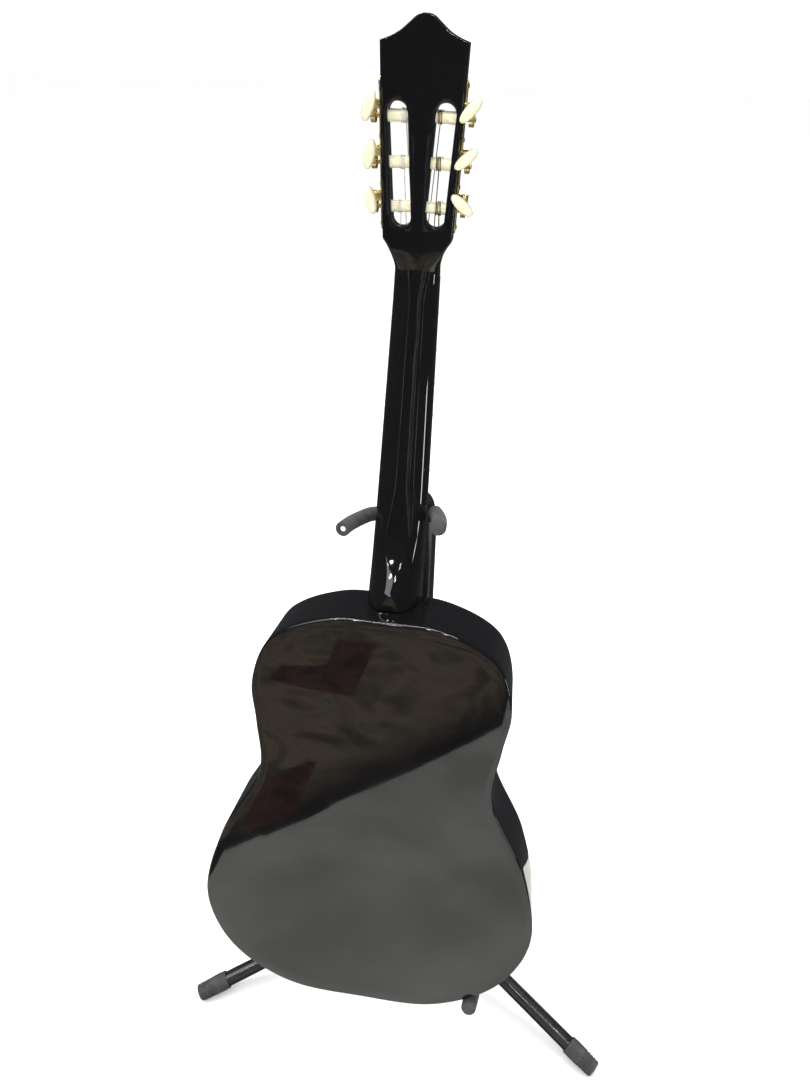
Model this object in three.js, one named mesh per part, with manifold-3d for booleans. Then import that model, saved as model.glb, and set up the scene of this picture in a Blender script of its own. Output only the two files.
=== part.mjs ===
// Small acoustic guitar standing, back outwards, on a folding tripod guitar stand.
// Millimetres, +Z up, the viewer's side is -Y. The origin is the middle of the footprint on the floor.
import * as THREE from 'three';
import { mergeVertices } from 'three/addons/utils/BufferGeometryUtils.js';
import Module from 'manifold-3d';

const wasm = await Module();
wasm.setup();

const { PI, sin, cos, abs } = Math;
const rad = THREE.MathUtils.degToRad;

// ---------- driving dimensions ----------

const GAP = 0.3;                    // air between pieces that touch on the real object
const ROUND = 24;                   // sides of a large round piece

// where the guitar sits, in the stand's frame (mast axis at X = Y = 0)
const TAIL = [-22.8, -219.0, 192.4];
const LEAN_BACK = rad(12.44);
const LEAN_SIDE = rad(0.85);
const TURN = rad(1.96);

// guitar body
const BODY_LENGTH = 454;
const BODY_DEPTH = 77;
const BACK_THICK = 2.6;
const TOP_THICK = 2.8;
const SIDE_THICK = 2.4;
const SOUNDHOLE_R = 44;
const SOUNDHOLE_Y = 302;
const BRIDGE_Y = 139;

// neck, fretboard and strings
const NUT_Y = 769;
const SCALE = 630;
const HALF_AT_NUT = 20.5;
const HALF_AT_BODY = 26.9;
const GLUE_Z = -BODY_DEPTH - GAP;   // plane that the fretboard is glued to
const NECK_DEPTH_NUT = 16;
const NECK_DEPTH_BODY = 18;
const HEEL_DEPTH = 51;
const HEEL_CAP_HALF = 9.5;
const HEEL_START = BODY_LENGTH + 1.6;
const HEEL_CAP_LENGTH = 15.5;
const HEEL_LENGTH = 100;
const BOARD_THICK = 5.2;
const BOARD_END = 350;
const FRETS = 18;
const NUT_TOP = 7.4;                // above the glue plane
const SADDLE_TOP = 12.2;
const STRING_R = [0.35, 0.42, 0.5, 0.42, 0.5, 0.58];
const NUT_SPACING = 7;
const SADDLE_SPACING = 11.4;

// headstock, in its own tilted frame: y up from the nut, z from its face to its back
const HEAD_TILT = rad(14.4);
const HEAD_THICK = 16;
const SHOULDER_Y = 30;
const SHOULDER_HALF = 30.4;
const CORNER_Y = 178.7;
const CORNER_HALF = 35.2;
const SLOT_HALF = 8.3;
const SLOT_LOW = 39.7;
const SLOT_HIGH = 137;
const ROLLER_Y = [55.6, 90.6, 125.6];
const ROLLER_R = 5;
const SLOT_X_LOW = 15;              // slot centre at the lowest roller
const SLOT_SLANT = 0.0657;
const PLATE_THICK = 1.2;
const BARREL_LENGTH = 29.6;
const GEAR_R = 5.6;
const WORM_R = 2.6;
const BUTTON_TURN = { left: [13, -12, -20], right: [52, -47, -40] };

// stand
const LOWER_R = 12.7;
const LOWER_BORE = 11.5;
const LOWER_Z = [66, 400];
const UPPER_R = 11;
const UPPER_BORE = 9.8;
const UPPER_Z = [330, 687];
const LEG_R = 9.5;
const LEG_BORE = 8.2;
const LEG_SPAN = 299;               // mast axis to the middle of a foot's end
const LEG_SLOPE = rad(16.7);
const FOOT_END_R = 10.6;
const FOOT_MOUTH_R = 11.7;
const FOOT_LENGTH = 40;
const FOOT_FLAT = 1.5;              // how far the rubber is worn flat on the floor
const PIVOT_R = 30;
const EAR_THICK = 3.5;
const PIN_R = 3;
const COLLAR_Z = 404;
const CRADLE_TURN = rad(-6);
const CRADLE_ROLL = rad(-2.05);
const CRADLE_HALF = 119;
const CRADLE_REACH = 207;
const CRADLE_SLOPE = rad(13.6);
const CRADLE_TIP_Z = 200.8;
const CRADLE_BACK = 24;             // transverse bar's distance in front of the mast
const ARM_R = 5;
const ARM_FOAM_R = 8.2;
const YOKE_ROD_R = 3;
const YOKE_FOAM_R = 7.4;

// half outline of the body, from the tail to the neck, in the body's own frame
const BODY_HALF = [
  [81.9, 5.5], [146.5, 44.6], [175.7, 108], [158.3, 194.3], [119, 275.6],
  [123.1, 331.3], [128, 376.4], [109.7, 425], [53.8, 452.2],
];
const OUTLINE_STEPS = 76;

// half of the headstock's crest, above its corners
const CREST_HALF = [[27, 2.9], [19, 7.1], [12, 12.7], [6, 17.3]];
const CREST_TOP = 18.9;

// ---------- materials ----------

const paint = (color, roughness, metalness = 0) =>
  new THREE.MeshStandardMaterial({ color, roughness, metalness });
const MATERIAL = {
  lacquer: paint(0x0a0a0b, 0.08),
  blackWood: paint(0x17130f, 0.5),
  bareWood: paint(0xb99467, 0.8),
  bone: paint(0xe9e3d0, 0.4),
  brass: paint(0xb58a3a, 0.3, 1),
  pearl: paint(0xe8dfc4, 0.3),
  nylon: paint(0xdfe0dc, 0.3),
  wound: paint(0x9a7a45, 0.35, 1),
  blackTube: paint(0x17181a, 0.35, 0.6),
  blackPlastic: paint(0x131314, 0.5),
  foam: paint(0x3c3d3e, 0.95),
  rubber: paint(0x2b2c2c, 0.85),
  steel: paint(0xb9bcc0, 0.3, 1),
};

// ---------- helpers ----------

function toManifold(geometry) {
  const bare = new THREE.BufferGeometry();
  bare.setAttribute('position', geometry.getAttribute('position').clone());
  if (geometry.index) bare.setIndex(geometry.index.clone());
  const merged = mergeVertices(bare, 1e-4);
  const corners = merged.index.array;
  const kept = [];
  for (let i = 0; i < corners.length; i += 3) {
    const [a, b, c] = corners.slice(i, i + 3);
    if (a !== b && b !== c && a !== c) kept.push(a, b, c);
  }
  const vertProperties = merged.getAttribute('position').array;
  return new wasm.Manifold(new wasm.Mesh({ numProp: 3, vertProperties, triVerts: new Uint32Array(kept) }));
}

function toGeometry(manifold) {
  const mesh = manifold.getMesh();
  const geometry = new THREE.BufferGeometry();
  geometry.setAttribute('position', new THREE.BufferAttribute(mesh.vertProperties, 3));
  geometry.setIndex(new THREE.BufferAttribute(mesh.triVerts, 1));
  return geometry;
}

const join = (...parts) => toGeometry(parts.map(toManifold).reduce((a, b) => a.add(b)));
const cut = (body, ...tools) => toGeometry(tools.map(toManifold).reduce((a, b) => a.subtract(b), toManifold(body)));
const common = (a, b) => toGeometry(toManifold(a).intersect(toManifold(b)));

function place(parent, name, geometry, material) {
  const mesh = new THREE.Mesh(geometry, material);
  mesh.name = name;
  parent.add(mesh);
  return mesh;
}

function frameAt(parent, position, rotation = [0, 0, 0]) {
  const group = new THREE.Group();
  group.position.set(...position);
  group.rotation.set(...rotation);
  parent.add(group);
  return group;
}

// closed body of revolution about Z from [radius, z] pairs
const turned = (profile, sides = ROUND) =>
  new THREE.LatheGeometry(profile.map(([r, z]) => new THREE.Vector2(r, z)), sides).rotateX(PI / 2);

function cylinder(radius, from, to, axis = 'z', sides = ROUND) {
  const geometry = turned([[0, from], [radius, from], [radius, to], [0, to]], sides);
  if (axis === 'x') geometry.rotateY(PI / 2);
  if (axis === 'y') geometry.rotateX(-PI / 2);
  return geometry;
}

const tube = (radius, bore, from, to) =>
  turned([[bore, from], [radius, from], [radius, to], [bore, to], [bore, from]]);

const block = (x, y, z) =>
  new THREE.BoxGeometry(x[1] - x[0], y[1] - y[0], z[1] - z[0])
    .translate((x[0] + x[1]) / 2, (y[0] + y[1]) / 2, (z[0] + z[1]) / 2);

const slab = (shape, from, to, curveSegments = 12) =>
  new THREE.ExtrudeGeometry(shape, { depth: to - from, bevelEnabled: false, curveSegments }).translate(0, 0, from);

// skin through rings of equal point count, closed by a fan at each end
function loft(rings) {
  const count = rings[0].length;
  const middle = ring => ring.reduce((sum, p) => sum.add(p), new THREE.Vector3()).divideScalar(count);
  const points = [...rings.flat(), middle(rings[0]), middle(rings.at(-1))];
  const faces = [];
  for (let k = 0; k + 1 < rings.length; k++) {
    for (let i = 0; i < count; i++) {
      const a = k * count + i;
      const b = k * count + (i + 1) % count;
      faces.push(a, b, b + count, a, b + count, a + count);
    }
  }
  const last = (rings.length - 1) * count;
  for (let i = 0; i < count; i++) {
    const j = (i + 1) % count;
    faces.push(points.length - 2, j, i, points.length - 1, last + i, last + j);
  }
  const geometry = new THREE.BufferGeometry().setFromPoints(points);
  geometry.setIndex(faces);
  return geometry;
}

// round bar with mitred bends through a list of points; `side` is square to all of them
function bar(points, radius, sides = 6, side = new THREE.Vector3(1, 0, 0)) {
  const rings = points.map((point, k) => {
    const before = points[Math.max(k - 1, 0)];
    const after = points[Math.min(k + 1, points.length - 1)];
    const along = after.clone().sub(before).normalize();
    const across = side.clone().addScaledVector(along, -side.dot(along)).normalize();
    const up = along.clone().cross(across);
    return Array.from({ length: sides }, (_, i) => point.clone()
      .addScaledVector(across, radius * cos(2 * PI * i / sides))
      .addScaledVector(up, radius * sin(2 * PI * i / sides)));
  });
  return loft(rings);
}

const mix = (a, b, t) => a + (b - a) * t;
const vec = (...p) => new THREE.Vector3(...p);
const reverse = list => [...list].reverse();

// ---------- guitar body ----------

const bodyCurve = new THREE.CatmullRomCurve3([
  vec(0, 0, 0),
  ...BODY_HALF.map(([x, y]) => vec(x, y, 0)),
  vec(0, BODY_LENGTH, 0),
  ...reverse(BODY_HALF).map(([x, y]) => vec(-x, y, 0)),
], true, 'centripetal');

function bodyOutline(inset) {
  return bodyCurve.getSpacedPoints(OUTLINE_STEPS).slice(0, -1).map((point, i) => {
    const tangent = bodyCurve.getTangentAt(i / OUTLINE_STEPS);
    return new THREE.Vector2(point.x - tangent.y * inset, point.y + tangent.x * inset);
  });
}

function sideRim() {
  const shape = new THREE.Shape(bodyOutline(0));
  shape.holes.push(new THREE.Path(reverse(bodyOutline(SIDE_THICK))));
  return slab(shape, -BODY_DEPTH + TOP_THICK + GAP, -BACK_THICK - GAP);
}

function soundboard() {
  const shape = new THREE.Shape(bodyOutline(0));
  shape.holes.push(new THREE.Path().absarc(0, SOUNDHOLE_Y, SOUNDHOLE_R, 0, 2 * PI, true));
  return slab(shape, -BODY_DEPTH, -BODY_DEPTH + TOP_THICK, 18);
}

// a piece inside the body, trimmed to the sides
function insideBody(piece) {
  const room = slab(new THREE.Shape(bodyOutline(SIDE_THICK + GAP)), -BODY_DEPTH, 0);
  return common(piece, room);
}

function addBody(guitar) {
  const low = -BODY_DEPTH + TOP_THICK + GAP;
  const high = -BACK_THICK - GAP;
  place(guitar, 'back_plate', slab(new THREE.Shape(bodyOutline(0)), -BACK_THICK, 0), MATERIAL.lacquer);
  place(guitar, 'side_rim', sideRim(), MATERIAL.lacquer);
  place(guitar, 'soundboard', soundboard(), MATERIAL.lacquer);
  place(guitar, 'neck_block', insideBody(block([-32, 32], [402, 460], [low, high])), MATERIAL.bareWood);
  place(guitar, 'tail_block', insideBody(block([-28, 28], [-5, 18], [low, high])), MATERIAL.bareWood);
  place(guitar, 'top_brace', insideBody(block([-190, 190], [236, 246], [low, low + 13])), MATERIAL.bareWood);
  place(guitar, 'back_brace', insideBody(block([-190, 190], [216, 228], [high - 13, high])), MATERIAL.bareWood);
}

// ---------- neck and headstock ----------

const halfWidthAt = y => mix(HALF_AT_BODY, HALF_AT_NUT, (y - BODY_LENGTH) / (NUT_Y - BODY_LENGTH));

// depth of the neck behind the glue plane, with the heel's sweep near the body
function neckDepth(y) {
  const shaft = mix(NECK_DEPTH_BODY, NECK_DEPTH_NUT, (y - BODY_LENGTH) / (NUT_Y - BODY_LENGTH));
  const capEnd = HEEL_START + HEEL_CAP_LENGTH;
  const t = Math.min(Math.max((y - capEnd) / (HEEL_LENGTH - HEEL_CAP_LENGTH), 0), 1);
  return shaft + (HEEL_DEPTH - shaft) * (1 - t) ** 2.3;
}

function neckRing(y) {
  const half = halfWidthAt(y);
  const heel = Math.min(Math.max(1 - (y - HEEL_START) / HEEL_LENGTH, 0), 1);
  const capLeft = Math.max(1 - (y - HEEL_START) / HEEL_CAP_LENGTH, 0);
  const cap = HEEL_CAP_HALF * capLeft ** 0.6;
  const steps = 7;
  const side = [];
  for (let i = 0; i <= steps; i++) {
    const t = (PI / 2) * (i / steps);
    const x = cap + (half - cap) * cos(t) ** mix(0.85, 1.5, heel);
    side.push([i === steps ? cap : x, neckDepth(y) * sin(t) ** mix(0.95, 0.8, heel)]);
  }
  const right = side.map(([x, z]) => vec(x, y, GLUE_Z + z));
  const left = reverse(side).map(([x, z]) => vec(-x - 0.02, y, GLUE_Z + z));
  return [...right, ...left];
}

function neckShaft() {
  const heelRows = [0, 4, 9, 13, HEEL_CAP_LENGTH, 20, 26, 34, 45, 62, 80, HEEL_LENGTH];
  const rows = [...heelRows.map(d => HEEL_START + d), NUT_Y - 110, NUT_Y - 1];
  return loft(reverse(rows).map(neckRing));
}

function headOutline() {
  const shape = new THREE.Shape();
  shape.moveTo(-HALF_AT_NUT, -6);
  shape.lineTo(HALF_AT_NUT, -6);
  shape.lineTo(HALF_AT_NUT, 6);
  shape.quadraticCurveTo(HALF_AT_NUT + 1.5, 20, SHOULDER_HALF, SHOULDER_Y);
  shape.lineTo(CORNER_HALF, CORNER_Y);
  shape.splineThru([
    ...CREST_HALF.map(([x, y]) => new THREE.Vector2(x, CORNER_Y + y)),
    new THREE.Vector2(0, CORNER_Y + CREST_TOP),
    ...reverse(CREST_HALF).map(([x, y]) => new THREE.Vector2(-x, CORNER_Y + y)),
    new THREE.Vector2(-CORNER_HALF, CORNER_Y),
  ]);
  shape.lineTo(-SHOULDER_HALF, SHOULDER_Y);
  shape.quadraticCurveTo(-HALF_AT_NUT - 1.5, 20, -HALF_AT_NUT, 6);
  return shape;
}

const slotX = y => SLOT_X_LOW + (y - ROLLER_Y[0]) * SLOT_SLANT;

function slotTool(sgn) {
  const shape = new THREE.Shape();
  const [low, high] = [SLOT_LOW + SLOT_HALF, SLOT_HIGH - SLOT_HALF];
  shape.absarc(sgn * slotX(high), high, SLOT_HALF, 0, PI, false);
  shape.absarc(sgn * slotX(low), low, SLOT_HALF, PI, 2 * PI, false);
  return slab(shape, -5, HEAD_THICK + 5, 6);
}

const edgeTurn = Math.atan2(CORNER_HALF - SHOULDER_HALF, CORNER_Y - SHOULDER_Y);
const edgeX = y => mix(SHOULDER_HALF, CORNER_HALF, (y - SHOULDER_Y) / (CORNER_Y - SHOULDER_Y));

// frame on one edge of the headstock: x points outwards, y runs along the edge, z front to back
function edgeMatrix(sgn) {
  const middle = ROLLER_Y[1];
  const turn = new THREE.Matrix4().makeRotationZ(sgn > 0 ? -edgeTurn : PI + edgeTurn);
  const move = new THREE.Matrix4().makeTranslation(sgn * edgeX(middle), middle, HEAD_THICK / 2);
  return move.multiply(turn);
}

function addNeck(guitar) {
  const toGuitar = new THREE.Matrix4().makeTranslation(0, NUT_Y, GLUE_Z)
    .multiply(new THREE.Matrix4().makeRotationX(HEAD_TILT));
  const drills = [1, -1].flatMap(sgn => ROLLER_Y.map(y => {
    const hole = cylinder(ROLLER_R + 0.5, -BARREL_LENGTH - 1, 4, 'x', 14).translate(0, rollerOffset(y, sgn), 0);
    return hole.applyMatrix4(edgeMatrix(sgn));
  }));
  const head = cut(slab(headOutline(), 0, HEAD_THICK, 3), slotTool(1), slotTool(-1), ...drills);
  const trimmed = cut(head.applyMatrix4(toGuitar), block([-60, 60], [700, NUT_Y + 60], [GLUE_Z - 30, GLUE_Z]));
  place(guitar, 'neck', join(neckShaft(), trimmed), MATERIAL.lacquer);
  return frameAt(guitar, [0, NUT_Y, GLUE_Z], [HEAD_TILT, 0, 0]);
}

// a roller's place along the edge frame's own y
const rollerOffset = (y, sgn) => sgn * (y - ROLLER_Y[1]) / cos(edgeTurn);

// ---------- tuning machines ----------

const PLATE_X = [GAP, GAP + PLATE_THICK];
const GEAR_X = [4.6, 9];
const WORM_OFFSET = GEAR_R + WORM_R + GAP;
const WORM_X = (GEAR_X[0] + GEAR_X[1]) / 2;
const EAR_Z = 6.4;

function tunerPlate(sgn) {
  const parts = [block(PLATE_X, [-54, 64].map(y => y * sgn).sort((a, b) => a - b), [-5, 5])];
  const holes = [];
  for (const y of ROLLER_Y.map(r => rollerOffset(r, sgn))) {
    const wormY = y + sgn * WORM_OFFSET;
    for (const side of [-1, 1]) {
      const z = [side * EAR_Z, side * (EAR_Z + 1.6)].sort((a, b) => a - b);
      const foot = [side * 4.5, side * EAR_Z].sort((a, b) => a - b);
      parts.push(block([PLATE_X[0], WORM_X + 3.4], [wormY - 3.4, wormY + 3.4], z));
      parts.push(block(PLATE_X, [wormY - 3.4, wormY + 3.4], foot));
    }
    holes.push(cylinder(2.3, -4, 8, 'x', 10).translate(0, y, 0));
    holes.push(cylinder(1.9, -12, 12, 'z', 10).translate(WORM_X, wormY, 0));
  }
  return cut(join(...parts), ...holes);
}

// string barrel in the slot, its spindle through the plate, and the gear wheel outside
function stringRoller() {
  const barrel = cylinder(ROLLER_R, -BARREL_LENGTH, 0, 'x', 14);
  const spindle = cylinder(1.9, -4, GEAR_X[0] + 1, 'x', 8);
  const gear = cylinder(GEAR_R, GEAR_X[0], GEAR_X[1], 'x', 16);
  return join(barrel, spindle, gear);
}

// worm between the ears, its shaft, and the oval button behind the headstock
function tuningButton() {
  const worm = cylinder(WORM_R, -EAR_Z + GAP, EAR_Z - GAP, 'z', 10);
  const shaft = cylinder(1.5, -EAR_Z - 2.2, 18, 'z', 8);
  const oval = new THREE.Shape().absellipse(0, 0, 4.5, 11.5, 0, 2 * PI, false);
  const button = slab(oval, 14.5, 29, 7);
  return join(worm, shaft, button);
}

function addTuners(head) {
  for (const [label, sgn] of [['right', 1], ['left', -1]]) {
    const edge = frameAt(head, [0, 0, 0]);
    edgeMatrix(sgn).decompose(edge.position, edge.quaternion, edge.scale);
    place(edge, `tuner_plate_${label}`, tunerPlate(sgn), MATERIAL.brass);
    ROLLER_Y.forEach((y, i) => {
      const offset = rollerOffset(y, sgn);
      place(edge, `string_roller_${label}_${i + 1}`, stringRoller(), MATERIAL.pearl).position.y = offset;
      const button = place(edge, `tuning_button_${label}_${i + 1}`, tuningButton(), MATERIAL.pearl);
      button.position.set(WORM_X, offset + sgn * WORM_OFFSET, 0);
      button.rotation.z = rad(BUTTON_TURN[label][i]);
    });
  }
}

// ---------- fretboard, nut, bridge and strings ----------

function fretboard() {
  const [low, high] = [BOARD_END, NUT_Y - 3];
  const shape = new THREE.Shape([[halfWidthAt(low), low], [halfWidthAt(high), high],
    [-halfWidthAt(high), high], [-halfWidthAt(low), low]].map(p => new THREE.Vector2(...p)));
  const board = slab(shape, GLUE_Z - BOARD_THICK, GLUE_Z - GAP);
  const frets = [];
  for (let n = 1; n <= FRETS; n++) {
    const y = NUT_Y - SCALE * (1 - 2 ** (-n / 12));
    const half = halfWidthAt(y) - 0.4;
    frets.push(block([-half, half], [y - 1, y + 1], [GLUE_Z - BOARD_THICK - 1.1, GLUE_Z - BOARD_THICK + 1]));
  }
  return join(board, ...frets);
}

function bridge() {
  const [y0, y1] = [BRIDGE_Y - 17, BRIDGE_Y + 9];
  const wings = block([-80, 80], [y0, y1], [-BODY_DEPTH - 5, -BODY_DEPTH - GAP]);
  const tieBlock = block([-42, 42], [y0, y1], [-BODY_DEPTH - 9.5, -BODY_DEPTH - 4]);
  const slot = block([-41, 41], [BRIDGE_Y - 1.5, BRIDGE_Y + 1.5], [-BODY_DEPTH - 12, -BODY_DEPTH - 3]);
  const valley = block([-43, 43], [BRIDGE_Y - 7.5, BRIDGE_Y - 3.5], [-BODY_DEPTH - 12, -BODY_DEPTH - 5.5]);
  return cut(join(wings, tieBlock), slot, valley);
}

const slotSide = k => (k < 3 ? -1 : 1);           // which headstock slot a string runs into

function addFittings(guitar) {
  place(guitar, 'fretboard', fretboard(), MATERIAL.blackWood);
  place(guitar, 'bridge', bridge(), MATERIAL.blackWood);
  const nut = block([-HALF_AT_NUT, HALF_AT_NUT], [NUT_Y - 2.7, NUT_Y + 2.3], [GLUE_Z - NUT_TOP, GLUE_Z - GAP]);
  place(guitar, 'nut', nut, MATERIAL.bone);
  const saddle = block([-39, 39], [BRIDGE_Y - 1.2, BRIDGE_Y + 1.2], [-BODY_DEPTH - SADDLE_TOP, -BODY_DEPTH - 3.3]);
  place(guitar, 'saddle', saddle, MATERIAL.bone);
}

// strings 1 to 6 run from the tie block over the saddle and the nut onto their rollers
function addStrings(guitar) {
  const toGuitar = new THREE.Matrix4().makeTranslation(0, NUT_Y, GLUE_Z)
    .multiply(new THREE.Matrix4().makeRotationX(HEAD_TILT));
  STRING_R.forEach((radius, k) => {
    const lane = k - 2.5;
    const over = radius + GAP + 0.1;
    const row = k < 3 ? k : 5 - k;
    const rollerY = ROLLER_Y[row];
    const landX = lane * NUT_SPACING + slotSide(k) * [-1, 4.5, 11][row];
    const landing = vec(landX, rollerY, HEAD_THICK / 2 - ROLLER_R - over - 0.3).applyMatrix4(toGuitar);
    const saddleX = lane * SADDLE_SPACING;
    place(guitar, `string_${k + 1}`, bar([
      vec(saddleX, BRIDGE_Y - 14, -BODY_DEPTH - 9.5 - over),
      vec(saddleX, BRIDGE_Y - 7.5, -BODY_DEPTH - 9.7 - over),
      vec(saddleX, BRIDGE_Y, -BODY_DEPTH - SADDLE_TOP - over - 0.2),
      vec(lane * NUT_SPACING, NUT_Y + 2.6, GLUE_Z - NUT_TOP - over - 0.1),
      landing,
    ], radius), k < 3 ? MATERIAL.nylon : MATERIAL.wound);
  });
}

function addGuitar(parent) {
  const seat = frameAt(parent, TAIL, [0, 0, TURN]);
  const leaning = frameAt(seat, [0, 0, 0], [PI / 2 - LEAN_BACK, 0, 0]);
  const guitar = frameAt(leaning, [0, 0, 0], [0, 0, -LEAN_SIDE]);
  addBody(guitar);
  const head = addNeck(guitar);
  addTuners(head);
  addFittings(guitar);
  addStrings(guitar);
}

// ---------- stand: hub and legs ----------

const LEG_END_Z = FOOT_END_R * cos(LEG_SLOPE) - FOOT_FLAT;
const LEG_LENGTH = (LEG_SPAN - PIVOT_R) / cos(LEG_SLOPE);
const PIVOT_Z = LEG_END_Z + LEG_LENGTH * sin(LEG_SLOPE);
const EAR_Y = LEG_R + GAP;
const LEG_ANGLES = { front_right: rad(-30), front_left: rad(-150), rear: rad(90) };

function hub() {
  const sleeve = tube(18, LOWER_R + GAP, PIVOT_Z - 16, PIVOT_Z + 17);
  const shelf = tube(41, LOWER_R + GAP, PIVOT_Z + 11.6, PIVOT_Z + 16);
  const ears = [];
  const holes = [];
  for (const angle of Object.values(LEG_ANGLES)) {
    for (const side of [-1, 1]) {
      const y = [side * EAR_Y, side * (EAR_Y + EAR_THICK)].sort((a, b) => a - b);
      const web = block([15.5, PIVOT_R], y, [PIVOT_Z - 10, PIVOT_Z + 12.5]);
      const nose = cylinder(10, y[0], y[1], 'y', 16).translate(PIVOT_R, 0, PIVOT_Z);
      ears.push(web.rotateZ(angle), nose.rotateZ(angle));
    }
    holes.push(cylinder(PIN_R + 0.4, -20, 20, 'y', 12).translate(PIVOT_R, 0, PIVOT_Z).rotateZ(angle));
  }
  return cut(join(sleeve, shelf, ...ears), ...holes, cylinder(LOWER_R + GAP, 0, 200));
}

function legTube() {
  const outer = cylinder(LEG_R, -5, LEG_LENGTH - 8, 'x', 20);
  const bore = cylinder(LEG_BORE, -10, LEG_LENGTH, 'x', 20);
  return cut(outer, bore, cylinder(PIN_R + GAP, -20, 20, 'y', 12));
}

function rubberFoot() {
  const start = LEG_LENGTH - FOOT_LENGTH;
  const cup = turned([
    [0, LEG_LENGTH], [FOOT_END_R - 1.5, LEG_LENGTH], [FOOT_END_R, LEG_LENGTH - 1.5],
    [FOOT_END_R + 0.3, LEG_LENGTH - 14], [FOOT_MOUTH_R, start + 4], [FOOT_MOUTH_R, start],
    [LEG_R + GAP, start], [LEG_R + GAP, LEG_LENGTH - 7], [0, LEG_LENGTH - 7],
  ].reverse(), 20).rotateY(PI / 2);
  const fromRadial = new THREE.Matrix4().makeTranslation(PIVOT_R, 0, PIVOT_Z)
    .multiply(new THREE.Matrix4().makeRotationY(LEG_SLOPE)).invert();
  const floor = block([0, 400], [-60, 60], [-60, 0]).applyMatrix4(fromRadial);
  return cut(cup, floor);
}

// bolt through the ears, with its head and nut outside them
function legPin() {
  const shank = cylinder(PIN_R, -EAR_Y - EAR_THICK - 1, EAR_Y + EAR_THICK + 1, 'y', 12);
  const head = cylinder(5.5, EAR_Y + EAR_THICK + GAP, EAR_Y + EAR_THICK + 3.3, 'y', 16);
  const nut = cylinder(5, -EAR_Y - EAR_THICK - 4, -EAR_Y - EAR_THICK - GAP, 'y', 6);
  return join(shank, head, nut);
}

function addLegs(stand) {
  place(stand, 'leg_hub', hub(), MATERIAL.blackPlastic);
  for (const [label, angle] of Object.entries(LEG_ANGLES)) {
    const radial = frameAt(stand, [0, 0, 0], [0, 0, angle]);
    const leg = frameAt(radial, [PIVOT_R, 0, PIVOT_Z], [0, LEG_SLOPE, 0]);
    place(leg, `leg_tube_${label}`, legTube(), MATERIAL.blackTube);
    place(leg, `rubber_foot_${label}`, rubberFoot(), MATERIAL.rubber);
    place(leg, `leg_pin_${label}`, legPin(), MATERIAL.steel);
  }
}

// ---------- stand: mast ----------

// thumb knob on a short stud; the stud's inner end is at x = 0
function thumbKnob(stud, grip) {
  const lobes = new THREE.Shape();
  const points = 24;
  for (let i = 0; i < points; i++) {
    const a = 2 * PI * i / points;
    const r = 12.4 + 1.6 * cos(6 * a);
    if (i === 0) lobes.moveTo(r, 0);
    else lobes.lineTo(r * cos(a), r * sin(a));
  }
  const head = slab(lobes, grip, grip + 11).rotateY(PI / 2);
  return join(head, cylinder(3, stud, grip + 2, 'x', 12), cylinder(6.5, grip - 3, grip + 1, 'x', 16));
}

function heightCollar() {
  const ring = turned([
    [LOWER_R + GAP, COLLAR_Z - 18], [17.5, COLLAR_Z - 18], [18, COLLAR_Z + 8], [15.5, COLLAR_Z + 14],
    [UPPER_R + 0.4, COLLAR_Z + 14], [UPPER_R + 0.4, COLLAR_Z - 3.5], [LOWER_R + GAP, COLLAR_Z - 3.5],
    [LOWER_R + GAP, COLLAR_Z - 18],
  ]);
  const boss = cylinder(7, 15, 24, 'x', 24).translate(0, 0, COLLAR_Z + 2);
  const hole = cylinder(3.3, 8, 40, 'x', 16).translate(0, 0, COLLAR_Z + 2);
  const bore = cylinder(UPPER_R + 0.4, COLLAR_Z - 40, COLLAR_Z + 40);
  return cut(join(ring, boss), hole, bore);
}

function addMast(stand) {
  place(stand, 'mast_lower_tube', tube(LOWER_R, LOWER_BORE, ...LOWER_Z), MATERIAL.blackTube);
  const plug = turned([
    [0, LOWER_Z[0] - 4], [LOWER_R - 2, LOWER_Z[0] - 4], [LOWER_R, LOWER_Z[0] - 2.5], [LOWER_R, LOWER_Z[0] - GAP],
    [LOWER_BORE - GAP, LOWER_Z[0] - GAP], [LOWER_BORE - GAP, LOWER_Z[0] + 12], [0, LOWER_Z[0] + 12],
  ]);
  place(stand, 'mast_end_plug', plug, MATERIAL.blackPlastic);
  place(stand, 'mast_upper_tube', tube(UPPER_R, UPPER_BORE, ...UPPER_Z), MATERIAL.blackTube);
  const rearward = frameAt(stand, [0, 0, 0], [0, 0, PI / 2]);
  place(rearward, 'height_collar', heightCollar(), MATERIAL.blackPlastic);
  const knob = place(rearward, 'height_knob', thumbKnob(UPPER_R + GAP, 27.5), MATERIAL.blackPlastic);
  knob.position.z = COLLAR_Z + 2;
}

// ---------- stand: cradle ----------

const CRADLE_Z = CRADLE_TIP_Z - (CRADLE_REACH - CRADLE_BACK) * Math.tan(CRADLE_SLOPE);
const CRADLE_BEND = 32;
const ARM_LENGTH = (CRADLE_REACH - CRADLE_BACK) / cos(CRADLE_SLOPE);
const ARM_ROOT = 10;
const FOAM_ROOT = 36;
const CAP_START = ARM_LENGTH - 6;
const UP = new THREE.Vector3(0, 0, 1);

// an arm's centre line in the sloping plane of the cradle: x sideways, y back
function armLine(sgn, root, tip) {
  const points = [vec(sgn * root, 0, 0)];
  for (let a = 0; a <= 90; a += 15) {
    const x = CRADLE_HALF - CRADLE_BEND * (1 - sin(rad(a)));
    points.push(vec(sgn * x, -CRADLE_BEND * (1 - cos(rad(a))), 0));
  }
  return [...points, vec(sgn * CRADLE_HALF, -tip, 0)];
}

const cradleTilt = new THREE.Matrix4().makeTranslation(0, -CRADLE_BACK, CRADLE_Z)
  .multiply(new THREE.Matrix4().makeRotationFromEuler(new THREE.Euler(-CRADLE_SLOPE, CRADLE_ROLL, 0)));

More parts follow.
